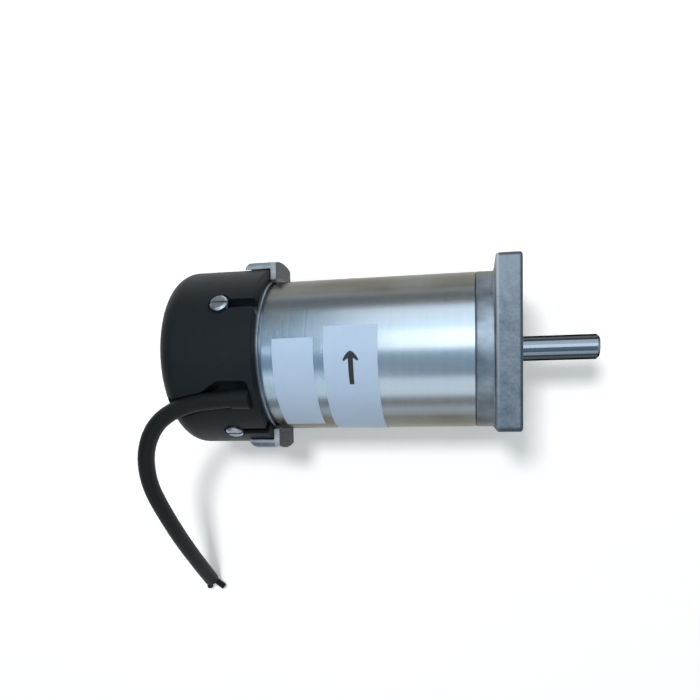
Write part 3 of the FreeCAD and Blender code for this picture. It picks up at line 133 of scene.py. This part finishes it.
# %% A finish written as expressions
class Finish:
    """A material whose surface is written as expressions."""

    # A Mix node lists the sockets of every data type; these are the ones that mix colours.
    MIX_FACTOR, MIX_A, MIX_B, MIX_RESULT = 0, 6, 7, 2

    def __init__(self, name):
        self.material = bpy.data.materials.new(name)
        self.material.use_nodes = True
        self.tree = self.material.node_tree
        self.tree.nodes.clear()
        self.out = self.tree.nodes.new("ShaderNodeOutputMaterial")

    def node(self, kind, settings, inputs, output=0):
        made = self.tree.nodes.new(kind)
        for name, value in settings.items():
            setattr(made, name, value)
        for name, value in inputs.items():
            socket = made.inputs[name]
            if isinstance(value, Wire):
                self.tree.links.new(value.socket, socket)
            elif isinstance(value, tuple) and len(value) == 3 and socket.type == "RGBA":
                socket.default_value = (*value, 1)
            else:
                socket.default_value = value
        return Wire(self, made.outputs[output])

    def place(self, scale=(1, 1, 1)):
        """Object coordinates, which are the frame's own metres, stretched where scale isn't 1."""
        where = self.node("ShaderNodeTexCoord", {}, {}, "Object")
        if scale == (1, 1, 1):
            return where
        return self.node("ShaderNodeMapping", {}, {"Vector": where, "Scale": scale})

    def axes(self):
        """The three coordinates of the place, each as a number of its own."""
        return [self.node("ShaderNodeSeparateXYZ", {}, {"Vector": self.place()}, axis)
                for axis in range(3)]

    def noise(self, size, detail=3.0, rough=0.5, scale=(1, 1, 1)):
        """Noise from 0 to 1 whose features are about size metres across."""
        inputs = {"Vector": self.place(scale), "Scale": 1 / size, "Detail": detail,
                  "Roughness": rough}
        return self.node("ShaderNodeTexNoise", {}, inputs)

    def mix(self, factor, a, b):
        inputs = {self.MIX_FACTOR: factor, self.MIX_A: a, self.MIX_B: b}
        return self.node("ShaderNodeMix", {"data_type": "RGBA"}, inputs, self.MIX_RESULT)

    def rounded(self, radius):
        """The normal of edges that look rounded by radius, as cast and moulded edges are."""
        return self.node("ShaderNodeBevel", {"samples": 6}, {"Radius": radius})

    def bump(self, height, depth, under=None):
        inputs = {"Height": height, "Distance": depth}
        if under is not None:
            inputs["Normal"] = under
        return self.node("ShaderNodeBump", {}, inputs)

    def show(self, shader):
        self.tree.links.new(shader.socket, self.out.inputs["Surface"])
        return self.material

    def surface(self, **sockets):
        """Finish with a Principled shader; a socket's name is written with _ for its spaces."""
        inputs = {name.replace("_", " "): value for name, value in sockets.items()}
        return self.show(self.node("ShaderNodeBsdfPrincipled", {}, inputs))


def tell(material):
    """Say how large a finish is, and hand it on."""
    print(material.name, "has", len(material.node_tree.nodes), "shader nodes")
    return material


# %% [markdown]
# ## New pieces
#
# A CAD node is already an object, so it only needs its finish. A new piece starts as a bmesh,
# becomes a mesh and then an object at the origin, and rides on the body that carries it. That
# is the same three steps each time, so they get a name here.

# %% New pieces and what they wear
def wear(piece, finish):
    """Give a CAD node or a new piece one finish."""
    piece = nodes[piece] if isinstance(piece, str) else piece
    piece.data.materials.clear()
    piece.data.materials.append(finish)
    return piece


def make_object(name, data, body=None):
    piece = bpy.data.objects.new(name, data)
    scene.collection.objects.link(piece)
    if body:
        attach(piece, body)
    return piece


def from_bmesh(name, bm, body=None, smooth=True):
    mesh = bpy.data.meshes.new(name)
    bm.to_mesh(mesh)
    bm.free()
    if smooth:
        mesh.shade_smooth()
    return make_object(name, mesh, body)


# %% [markdown]
# ## Table
#
# The motor lies on white paper. A paper that is only lit would need so much light that pale
# things on it burn out, so the paper has a faint glow of its own for the eye and for shiny
# things. Its matt part still takes the shadow. The grid is wide enough to reach the horizon.

# %% Table
table_height, table_reach, glow_strength = -0.037, 6.0, 0.32


def white_paper():
    finish = Finish("white_paper")
    shade, light = (0.945, 0.935, 0.92), (0.97, 0.96, 0.945)
    tone = finish.mix(finish.noise(0.06, 2.0), shade, light)
    paper = finish.node("ShaderNodeBsdfDiffuse", {}, {"Color": tone})
    rays = [finish.node("ShaderNodeLightPath", {}, {}, f"Is {kind} Ray")
            for kind in ("Camera", "Glossy", "Transmission")]
    strength = (rays[0] + rays[1] + rays[2]).clamp() * glow_strength
    glow = finish.node("ShaderNodeEmission", {}, {"Color": (1.0, 1.0, 1.0), "Strength": strength})
    return finish.show(finish.node("ShaderNodeAddShader", {}, {0: paper, 1: glow}))


bm = bmesh.new()
bmesh.ops.create_grid(bm, x_segments=2, y_segments=2, size=table_reach)
bmesh.ops.translate(bm, verts=bm.verts, vec=(0, 0, table_height))
table = from_bmesh("table", bm, smooth=False)
wear(table, white_paper())
print("table", 2 * table_reach, "m wide at", table_height, "m")

# %% [markdown]
# ## Room
#
# Turned metal is a mirror: most of what it shows is the room. So the world is a plain warm wall
# that gets darker upwards and ends in a cool ceiling. A ramp over the height of the line of
# sight is enough, because the blurred reflections never show more than that.

# %% Room
room = bpy.data.worlds.new("room")
scene.world = room
room.use_nodes = True
room_nodes, room_links = room.node_tree.nodes, room.node_tree.links
heading = room_nodes.new("ShaderNodeTexCoord")
parts = room_nodes.new("ShaderNodeSeparateXYZ")
wall = room_nodes.new("ShaderNodeValToRGB")
wall_tones = [(0.0, (0.31, 0.29, 0.255)), (0.16, (0.27, 0.25, 0.22)), (0.62, (0.19, 0.18, 0.165)),
              (0.86, (0.33, 0.41, 0.48)), (1.0, (0.42, 0.54, 0.64))]
while len(wall.color_ramp.elements) < len(wall_tones):
    wall.color_ramp.elements.new(0.5)
for element, (position, color) in zip(wall.color_ramp.elements, wall_tones):
    element.position = position
    element.color = (*color, 1)
room_links.new(heading.outputs["Generated"], parts.inputs[0])
room_links.new(parts.outputs["Z"], wall.inputs[0])
room_links.new(wall.outputs["Color"], room_nodes["Background"].inputs["Color"])
print("the wall has", len(wall_tones), "tones")

# %% [markdown]
# ## Lamps
#
# One small lamp from above gives the soft shadows. The bands along the tube are reflections of
# big soft boxes. If the boxes lit everything, the shadows would wash out, so the small lamp is
# seen by matt surfaces only and the boxes by shiny ones only. Each lamp is placed by its angle
# round the motor's axis, since a box at an angle shows on the tube at half that angle.

# %% Lamps
def above_axis(angle, x, distance=0.9):
    """The point at x and distance from the motor's axis, angle degrees from the top towards +Y."""
    turn = math.radians(angle)
    return (x, distance * math.sin(turn), distance * math.cos(turn))


def lamp(name, spot, width, length, radiance, tint=(1, 1, 1), seen_by="shiny"):
    """A soft box that faces the motor's axis and is seen by matt or by shiny surfaces."""
    data = bpy.data.lights.new(name, "AREA")
    data.shape = "RECTANGLE"
    data.size, data.size_y = length, width
    data.energy = radiance * math.pi * width * length
    data.color = tint
    piece = make_object(name, data)
    spot = Vector(spot)
    turn = Matrix.Rotation(-math.atan2(spot.y, spot.z), 4, "X")
    piece.matrix_world = Matrix.Translation(spot) @ turn
    piece.visible_diffuse = seen_by == "matt"
    piece.visible_glossy = seen_by == "shiny"
    print(name, "at", tuple(round(value, 2) for value in spot), round(data.energy, 1), "W")


warm_white, daylight, blue_sky = (1.0, 0.99, 0.97), (0.92, 0.97, 1.0), (0.90, 0.96, 1.0)
# Each line: the place, by angle and x, then the width, the length, the radiance and the tint.
lamp("key", above_axis(13.0, -0.150, distance=1.0), 0.18, 0.18, 54.2, seen_by="matt")
lamp("strip", above_axis(12.6, 0.13), 0.40, 0.68, 2.20, warm_white)
lamp("window", above_axis(44.0, 0.12), 0.68, 0.80, 1.43, blue_sky)
lamp("fill", above_axis(-56.0, -0.05), 0.50, 0.80, 1.0, daylight)
lamp("end", above_axis(4.0, -0.54), 0.18, 0.20, 2.6, daylight)
lamp("corner", above_axis(-35.0, -0.42), 0.24, 0.34, 1.0, daylight)

# %% [markdown]
# ## Cast aluminium
#
# The flange and the rear ring are castings: grey-blue and grainy. The casting carries painted
# light that grows towards +Y, painted shade along the flange's front edge and corners, and a
# painted highlight along its back edge. The rear ring is a lighter, machined grey, which also
# paints a highlight on the front of its lugs, and painted shade covers its front face. The hub
# was turned on a lathe and is smoother, with stains at the joint with the tube and painted shade
# down its sides. The pilot on the face keeps the rings of the tool. All of it is one material,
# whose masks come from the place on the casting, in metres.

# %% The castings' grain and edges
flange_side, flange_corner = 0.0316, 0.0311            # where the flange's rim begins
flange_front, flange_back, hub_front = -0.0010, -0.0085, -0.0097
ring_front, ring_face, leg_front, leg_side = -0.0900, -0.09868, -0.1008, 0.0372


def casting_colors(finish, x, y, z, cloud, speck):
    """Grain with painted light towards +Y, the rear ring's lighter grey, then painted shade and
    painted highlights on edges and faces.
    """
    grey_low, grey_high = (0.120, 0.165, 0.215), (0.29, 0.350, 0.41)
    # painted light: the casting grows lighter towards +Y, and lighter still on its faces out at +Y
    top = y * 8.0 + y.above(0.026, 0.022) * 0.60
    grain = ((cloud - 0.5) * 1.1 + (speck - 0.5) * 1.3 + top + 0.55).clamp()
    cast = finish.mix(grain, grey_low, grey_high)

    edge_shade_grey, painted_highlight_white = (0.045, 0.060, 0.085), (0.85, 0.90, 0.95)
    wide, narrow = y.size().math("MAXIMUM", z.size()), y.size().math("MINIMUM", z.size())
    far_out, in_corner = wide.above(flange_side, 0.0008), narrow.above(flange_corner, 0.0008)
    # painted shade along the flange's front edge and at its four corners
    painted_edge_shade = (x.above(flange_front, 0.0006) * far_out + in_corner).clamp()
    # painted highlight along the flange's back edge, brighter towards +Y
    back_edge_highlight = x.below(flange_back, 0.0006) * x.above(hub_front, 0.0002) * far_out
    cast = finish.mix(painted_edge_shade * 0.75, cast, edge_shade_grey)
    cast = finish.mix(back_edge_highlight * (y * 9 + 0.40).clamp(), cast, painted_highlight_white)

    rim_low, rim_high, ring_face_shade = (0.38, 0.42, 0.44), (0.64, 0.68, 0.70), (0.050, 0.053, 0.050)
    rear = x.below(ring_front, 0.0010)
    outer_leg = y.size().above(leg_side, 0.0006) * x.below(leg_front, 0.0004)
    # a lighter, machined grey on the rear casting; on the front of the lugs it is also a painted
    # highlight
    rim = finish.mix(cloud.above(0.5, 0.5), rim_low, rim_high)
    cast = finish.mix(rear * (1 - outer_leg) * 0.75, cast, rim)
    # painted shade: the rear ring's front face is darkened almost to black
    return finish.mix(rear * x.above(ring_face, 0.00008) * 0.9, cast, ring_face_shade)


print("the flange's rim begins", flange_side * 1000, "mm from the axis")

# %% Cast aluminium
hub_radius, hub_shade_height, pilot_radius = 0.0331, 0.0182, 0.0162
hub_joint, half_way_back = -0.0138, -0.05


def hub_colors(finish, x, z):
    """The turned hub: smeared grey, with stains at the joint with the tube and painted shade down
    its sides.
    """
    smooth_low, smooth_high = (0.197, 0.240, 0.298), (0.320, 0.382, 0.452)
    stain_and_shade = (0.046, 0.054, 0.052)
    smear = finish.noise(0.005, 4.0, 0.65, scale=(0.5, 1, 1))
    stain = finish.noise(0.010, 3.0, 0.6).above(0.50, 0.30)
    joint = x.below(hub_joint, 0.0040) * x.above(half_way_back, 0.001) * (0.15 + 0.85 * stain)
    smooth = finish.mix(smear.above(0.5, 0.4), smooth_low, smooth_high)
    # painted shade: the hub darkens down its sides, below a height in z
    hub_side_shade = z.below(hub_shade_height, 0.012)
    return finish.mix((joint * 0.36 + hub_side_shade * 0.94).clamp(), smooth, stain_and_shade)


def cast_aluminium():
    finish = Finish("cast_aluminium")
    x, y, z = finish.axes()
    radius = (y * y + z * z) ** 0.5
    cloud = finish.noise(0.0045, 3.0, 0.6)
    speck = finish.noise(0.0011, 3.0, 0.7)
    turned = radius.below(hub_radius, 0.0004) * x.below(hub_front + 0.0001, 0.0004)
    pilot = radius.below(pilot_radius, 0.0002) * x.above(0.0002, 0.0002)
    tool_rings = (radius * 9000.0).math("SINE") * pilot
    casting, hub = casting_colors(finish, x, y, z, cloud, speck), hub_colors(finish, x, z)
    height = speck * (1 - 0.8 * turned - 0.7 * pilot) + tool_rings * 0.05
    return finish.surface(
        Base_Color=finish.mix(turned, casting, hub), Metallic=0.8 + 0.2 * turned,
        Roughness=0.50 + 0.16 * speck - 0.20 * turned - 0.14 * pilot,
        Normal=finish.bump(height, 0.00025, under=finish.rounded(0.0006)))


cast = tell(cast_aluminium())

# %% [markdown]
# ## Brushed tube
#
# The housing is a steel tube that was polished on a lathe, so its fine lines run round it and
# each band of light is drawn out along it. The lines could be an image or a noise. A noise that
# is squeezed in two directions needs no unwrapping and no seam. Down the sides the colour is
# painted darker and browner, a painted shade for the dark reflection there, and towards the rear
# it turns a patchy blue.

# %% Brushed tube
def brushed_tube():
    finish = Finish("brushed_tube")
    line_low, line_high = (0.385, 0.458, 0.530), (0.465, 0.538, 0.612)
    rear_tint_blue, tube_shade_brown = (0.32, 0.46, 0.58), (0.142, 0.140, 0.120)
    rear_tint_start, tube_shade_height = -0.0640, 0.0203
    x, y, z = finish.axes()
    fine = finish.noise(0.00028, 2.0, 0.6, scale=(1, 0.002, 0.002))
    broad = finish.noise(0.0022, 3.0, 0.6, scale=(1, 0.004, 0.004))
    cloud = finish.noise(0.02, 3.0, 0.6)
    patches = finish.noise(0.009, 3.0, 0.6).above(0.45, 0.35)

    color = finish.mix((fine * 0.3 + broad * 0.7).clamp(), line_low, line_high)
    # a patchy blue tint towards the rear
    rear_tint = x.below(rear_tint_start, 0.030) * (0.3 + 0.7 * patches)
    color = finish.mix(rear_tint * 0.6, color, rear_tint_blue)
    # painted shade: a brown darkening down the sides, for the dark reflection there
    lift = z - 0.22 * y.math("MAXIMUM", 0.0)
    tube_side_shade = (lift.below(tube_shade_height, 0.007) * (0.65 + 0.5 * cloud)).clamp()
    return finish.surface(
        Base_Color=finish.mix(tube_side_shade, color, tube_shade_brown), Metallic=1.0,
        Roughness=0.18 + 0.08 * broad + 0.06 * cloud,
        Specular_Tint=(0.75, 0.72, 0.66, 1), Normal=finish.bump(fine, 0.000022))


tube_metal = tell(brushed_tube())

# %% [markdown]
# ## Ground shaft
#
# The output shaft is ground and oiled. It is the smoothest piece, so its bands of light have
# sharp edges. Its steel is given a darker colour than the tube's, and down its sides the colour
# is painted darker still: painted shade, in streaks along the shaft.

# %% Ground shaft
def ground_shaft():
    finish = Finish("ground_shaft")
    shaft_shade_dark, shaft_shade_height = (0.060, 0.072, 0.078), 0.0037
    z = finish.axes()[2]
    lines = finish.noise(0.0003, 2.0, 0.6, scale=(1, 0.005, 0.005))
    shade_streaks = finish.noise(0.004, 2.0, 0.5, scale=(0.2, 1, 1))
    steel = finish.mix(lines, (0.165, 0.205, 0.250), (0.215, 0.255, 0.305))
    # painted shade: the shaft darkens down its sides, in streaks along it
    shaft_side_shade = (z.below(shaft_shade_height, 0.0014) * (0.75 + 0.25 * shade_streaks)).clamp()
    return finish.surface(
        Base_Color=finish.mix(shaft_side_shade, steel, shaft_shade_dark), Metallic=1.0,
        Roughness=0.08 + 0.05 * lines, Specular_Tint=(0.0, 0.0, 0.0, 1),
        Normal=finish.bump(lines, 0.00002))


shaft_metal = tell(ground_shaft())

# %% [markdown]
# ## Black plastic and rubber
#
# The cap is a satin moulding with a fine spark-eroded grain and the scar of the injection gate
# in the middle of its back. The cable and its sleeve are soft rubber, a little duller. Neither
# is pure black: a base near 0.01, a little blue, with uneven gloss is what makes them look solid.

# %% Black plastic and rubber
def black_moulding():
    finish = Finish("black_moulding")
    black_low, black_high = (0.0050, 0.0084, 0.0112), (0.0084, 0.0126, 0.0160)
    gate_outside, gate_inside, cap_back = 0.0021, 0.0012, -0.1400
    x, y, z = finish.axes()
    grain = finish.noise(0.0006, 3.0, 0.6)
    cloud = finish.noise(0.02, 3.0)
    radius = (y * y + z * z) ** 0.5
    gate = radius.below(gate_outside, 0.0002) - radius.below(gate_inside, 0.0002)
    gate = gate * x.below(cap_back, 0.0004)
    return finish.surface(
        Base_Color=finish.mix(cloud, black_low, black_high),
        Roughness=0.40 + 0.16 * grain + 0.10 * cloud, Specular_IOR_Level=0.22,
        Normal=finish.bump(grain + gate * 3.0, 0.00005, under=finish.rounded(0.0005)))


def black_rubber():
    finish = Finish("black_rubber")
    grain = finish.noise(0.0008, 3.0, 0.6)
    cloud = finish.noise(0.008, 2.0, 0.5)
    black_low, black_high = (0.0040, 0.0060, 0.0074), (0.0072, 0.0096, 0.0112)
    return finish.surface(
        Base_Color=finish.mix(cloud, black_low, black_high),
        Roughness=0.48 + 0.10 * grain + 0.06 * cloud, Specular_IOR_Level=0.24,
        Normal=finish.bump(grain, 0.00003))


moulding, rubber = tell(black_moulding()), tell(black_rubber())

# %% [markdown]
# ## Small and hidden pieces
#
# Most of the pieces are inside. They get the same care in short: two close shades of the real
# material, a little grain and uneven gloss, so that an opened view doesn't show flat colour. The
# screws and the labels outside are as simple, and share the table.

# %% Small and hidden pieces
def plain_finish(name, low, high, rough, metallic=0.0, size=0.002, depth=0.00003):
    """Grain of one size between two shades; depth is how deep the grain is, in metres."""
    finish = Finish(name)
    grain = finish.noise(size, 3.0, 0.6)
    return finish.surface(Base_Color=finish.mix(grain, low, high), Roughness=rough + 0.1 * grain,
                          Metallic=metallic, Normal=finish.bump(grain, depth))


zinc = plain_finish("zinc_plate", (0.31, 0.36, 0.42), (0.41, 0.46, 0.52), 0.32, 1.0,
                    size=0.0015, depth=0.00001)
ferrite = plain_finish("ferrite", (0.03, 0.03, 0.032), (0.06, 0.06, 0.065), 0.6, 0.2)
spring_steel = plain_finish("spring_steel", (0.16, 0.16, 0.17), (0.24, 0.24, 0.25), 0.35, 1.0)
bearing_steel = plain_finish("bearing_steel", (0.60, 0.60, 0.61), (0.70, 0.70, 0.71), 0.14, 1.0)
laminations = plain_finish("laminations", (0.16, 0.16, 0.17), (0.26, 0.26, 0.27), 0.45, 0.9)
board = plain_finish("board", (0.36, 0.24, 0.12), (0.48, 0.34, 0.18), 0.5)
green_coat = plain_finish("green_coat", (0.06, 0.18, 0.10), (0.10, 0.26, 0.15), 0.4)
copper = plain_finish("copper", (0.60, 0.30, 0.18), (0.75, 0.42, 0.28), 0.3, 1.0)
enamel = plain_finish("enamelled_copper", (0.38, 0.12, 0.04), (0.52, 0.20, 0.08), 0.3, 0.8,
                      size=0.0008, depth=0.0001)
brass = plain_finish("brass", (0.60, 0.45, 0.18), (0.72, 0.56, 0.26), 0.3, 1.0)
phenolic = plain_finish("phenolic", (0.10, 0.04, 0.02), (0.16, 0.07, 0.04), 0.45)
carbon = plain_finish("carbon", (0.02, 0.02, 0.022), (0.04, 0.04, 0.043), 0.5, 0.3)
capacitor_coat = plain_finish("capacitor_coat", (0.45, 0.14, 0.05), (0.58, 0.20, 0.08), 0.3)
red_lead = plain_finish("red_insulation", (0.45, 0.03, 0.03), (0.55, 0.05, 0.04), 0.4)
label_film = plain_finish("label_film", (0.468, 0.612, 0.795), (0.530, 0.672, 0.855), 0.42,
                          size=0.006)
ink = plain_finish("label_ink", (0.010, 0.014, 0.020), (0.018, 0.024, 0.032), 0.4, size=0.001)
print("finishes made:", len(bpy.data.materials))

# %% [markdown]
# ## Who wears what
#
# One table says which nodes wear each finish. It is read twice: to give the finishes, and to
# make sure that no node of the frame is left bare.

# %% Who wears what
wearers = {
    cast: "front_housing rear_housing",
    tube_metal: "motor_tube",
    shaft_metal: "shaft",
    moulding: "rear_cover",
    rubber: "cable_boot cable_cores motor_cable motor_lead_2",
    zinc: "cover_screws tie_bolts tie_bolt_washers brush_plate_screws",
    ferrite: "field_magnet_1 field_magnet_2",
    spring_steel: "magnet_clips wave_washer bearing_circlip shaft_circlip "
                  "brush_spring_1 brush_spring_2",
    bearing_steel: "front_bearing_inner_ring front_bearing_outer_ring front_bearing_balls "
                   "front_bearing_shields rear_bearing_inner_ring rear_bearing_outer_ring "
                   "rear_bearing_balls rear_bearing_shields",
    laminations: "armature_core",
    green_coat: "end_insulators",
    enamel: "armature_windings",
    phenolic: "commutator_hub",
    copper: "commutator_bars brush_pigtail_1 brush_pigtail_2",
    board: "brush_plate",
    brass: "front_bearing_cage rear_bearing_cage brush_holder_1 brush_holder_2 "
           "brush_terminal_1 brush_terminal_2",
    carbon: "carbon_brush_1 carbon_brush_2",
    capacitor_coat: "suppression_capacitor",
    red_lead: "motor_lead_1",
    label_film: "plain_label arrow_label",
}
worn = [(name, finish) for finish, names in wearers.items() for name in names.split()]
for name, finish in worn:
    wear(name, finish)
bare = set(nodes) - set(dict(worn))
print("finishes given to", len(worn), "of", len(nodes), "nodes; left bare:", len(bare), bare or "")

# %% [markdown]
# ## Turning arrow
#
# The wider label shows which way the shaft turns. The arrow could be a picture on the label, but
# then it would be gone from the model's shape. So half of it is drawn as a flat outline, cut
# into small faces, mirrored, given the thickness of ink and wrapped round the tube.

# %% Turning arrow
def bend_round_tube(bm, radius):
    """Wrap a flat shape, y along the girth and z its height, round the tube's axis."""
    for vertex in bm.verts:
        x, girth, height = vertex.co
        turn, reach = girth / radius, radius + height
        vertex.co = (x, math.sin(turn) * reach, math.cos(turn) * reach)


label_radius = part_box("arrow_label")[1].z + 0.00001
arrow_x, arrow_turn, ink_height = -0.0634, math.radians(-1.9), 0.00004
half_arrow = [(0, 0.0), (0.0012, -0.0007), (0.0023, -0.0020), (0.0031, -0.0036), (0.0025, -0.0040),
              (0.0018, -0.0033), (0.0010, -0.0029), (0.0009, -0.0132), (0, -0.0132)]
bm = bmesh.new()
bm.faces.new([bm.verts.new((x, y, 0)) for x, y in half_arrow])
bmesh.ops.triangulate(bm, faces=bm.faces[:])
bmesh.ops.subdivide_edges(bm, edges=bm.edges[:], cuts=9, use_grid_fill=True)
bmesh.ops.mirror(bm, geom=bm.verts[:] + bm.edges[:] + bm.faces[:], axis="X", merge_dist=0.00001)
bmesh.ops.remove_doubles(bm, verts=bm.verts, dist=0.00001)
raised = bmesh.ops.extrude_face_region(bm, geom=bm.faces[:])["geom"]
raised = [item for item in raised if isinstance(item, bmesh.types.BMVert)]
bmesh.ops.translate(bm, verts=raised, vec=(0, 0, ink_height))
bmesh.ops.recalc_face_normals(bm, faces=bm.faces)
bmesh.ops.translate(bm, verts=bm.verts, vec=(arrow_x, arrow_turn * label_radius, 0))
bend_round_tube(bm, label_radius)
arrow = from_bmesh("turning_arrow", bm, "stator", smooth=False)
wear(arrow, ink)
print("arrow faces", len(arrow.data.polygons))

# %% [markdown]
# ## Supply cable
#
# The sheath is 7 mm thick, leaves the cap straight, bends down under its own weight and was cut
# just above the table. A cable could be a swept mesh, but a curve with a round bevel keeps
# its centreline, so its length and its tightest bend can be measured and kept true.

# %% Supply cable
cable_route = [
    (-0.1062, -0.01863, 0.03150), (-0.1208, -0.01863, 0.03150), (-0.1360, -0.0222, 0.0310),
    (-0.1461, -0.0288, 0.0293), (-0.1527, -0.0401, 0.0256), (-0.1552, -0.0545, 0.0186),
    (-0.1535, -0.0700, 0.0076), (-0.1513, -0.0898, -0.0095), (-0.1503, -0.1098, -0.0324),
]
curve = bpy.data.curves.new("supply_cable", "CURVE")
curve.dimensions = "3D"
line = curve.splines.new("NURBS")
line.points.add(len(cable_route) - 1)
for point, spot in zip(line.points, cable_route):
    point.co = (*spot, 1)
line.order_u = 3
line.use_endpoint_u = True
line.resolution_u = 16
curve.bevel_depth = 0.0035
curve.bevel_resolution = 10
curve.use_fill_caps = True
curve.materials.append(rubber)
cable = make_object("supply_cable", curve, "stator")
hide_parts("motor_cable")
print("cable through", len(cable_route), "points")

# %% [markdown]
# ## Cable cores
#
# Two insulated cores stick out of the cut sheath and part. Each is swept: circles are set along
# a short bend and bridged, which keeps the wall round where it turns. The end face is inset and
# sunk, so that the insulation has a wall, and seven fine copper wires with softened edges stand
# in it.

# %% Cable cores
bend_steps, core_segments, strand_segments = 10, 24, 12


def frames_along(start, knee, tip, steps=bend_steps):
    """Frames on a smooth bend from start, past knee, to tip, with their Z axes along the bend."""
    start, knee, tip = Vector(start), Vector(knee), Vector(tip)
    frames = []
    for step in range(steps + 1):
        t = step / steps
        first, second = start.lerp(knee, t), knee.lerp(tip, t)
        turn = (second - first).to_track_quat("Z", "X").to_matrix().to_4x4()
        frames.append(Matrix.Translation(first.lerp(second, t)) @ turn)
    return frames


def edges_within(verts):
    """The edges whose two ends are both among the vertices, each once and always in one order."""
    return list(dict.fromkeys(edge for vertex in verts for edge in vertex.link_edges
                              if edge.other_vert(vertex) in verts))


def sweep_rings(bm, frames, radius, segments=core_segments):
    """A closed round bar through the frames; returns the face at its far end."""
    rings = [bmesh.ops.create_circle(bm, segments=segments, radius=radius, matrix=seat)["verts"]
             for seat in frames]
    for near, far in zip(rings, rings[1:]):
        bmesh.ops.bridge_loops(bm, edges=edges_within(near) + edges_within(far))
    bm.faces.new(rings[0])
    return bm.faces.new(rings[-1])


def add_strand(bm, seat, radius=0.00030, length=0.0006):
    """One cut copper wire, centred on seat, with its cut edge softened."""
    wire = bmesh.ops.create_cone(bm, cap_ends=True, segments=strand_segments, radius1=radius,
                                 radius2=radius, depth=length, matrix=seat)["verts"]
    cut_end = [vertex for vertex in wire if (seat.inverted() @ vertex.co).z > 0]
    bmesh.ops.bevel(bm, geom=edges_within(cut_end), offset=0.0001, segments=2, profile=0.5,
                    affect="EDGES", material=-1)


print("a core is", core_segments, "edges round and", bend_steps + 1, "rings long")

# %% Two cores and their wires
core_radius, core_wall, core_hollow, inner_draft = 0.00152, 0.00042, 0.0006, 0.00002
strand_ring, strand_sink = 0.00066, 0.0004
core_bends = [
    ((-0.14885, -0.1082, -0.0310), (-0.1484, -0.1110, -0.0338), (-0.1447, -0.1143, -0.0353)),
    ((-0.15172, -0.1082, -0.0310), (-0.1519, -0.1110, -0.0338), (-0.1523, -0.1146, -0.0353)),
]
ring_turns = [math.radians(turn) for turn in range(0, 360, 60)]
ring_of_six = [(strand_ring * math.cos(turn), strand_ring * math.sin(turn)) for turn in ring_turns]
insulation, strands = bmesh.new(), bmesh.new()
for bend in core_bends:
    frames = frames_along(*bend)
    end_face = sweep_rings(insulation, frames, core_radius)
    bmesh.ops.recalc_face_normals(insulation, faces=insulation.faces)
    bmesh.ops.inset_region(insulation, faces=[end_face], thickness=core_wall, use_even_offset=True)
    bmesh.ops.inset_region(insulation, faces=[end_face], thickness=inner_draft, depth=-core_hollow)
    for across, along in [(0, 0)] + ring_of_six:
        add_strand(strands, frames[-1] @ Matrix.Translation((across, along, -strand_sink)))
core_insulation = from_bmesh("core_insulation", insulation, "stator")
core_strands = from_bmesh("core_strands", strands, "stator", smooth=False)
wear(core_insulation, rubber)
wear(core_strands, copper)
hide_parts("cable_cores")
print("core faces", len(core_insulation.data.polygons),
      "strand faces", len(core_strands.data.polygons))

# %% [markdown]
# ## Brush springs and tails
#
# A carbon brush slides in its holder, and the spring behind it gets shorter as it does. A solid
# spring would cut through the brush. Here each spring and each copper tail is shown as a merged
# copy with its own finish, and the solid node is hidden.


def press(name, finish):
    """Show a merged copy of a node in the node's place, wearing finish, and hide the node."""
    bm = bmesh.new()
    bm.from_mesh(nodes[name].data)
    bmesh.ops.remove_doubles(bm, verts=bm.verts, dist=0.000001)
    piece = from_bmesh("pressed_" + name, bm)
    wear(piece, finish)
    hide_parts(name)
    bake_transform(piece)


for number, side in ((1, 1), (2, -1)):
    press(f"brush_spring_{number}", spring_steel)
    press(f"brush_pigtail_{number}", copper)
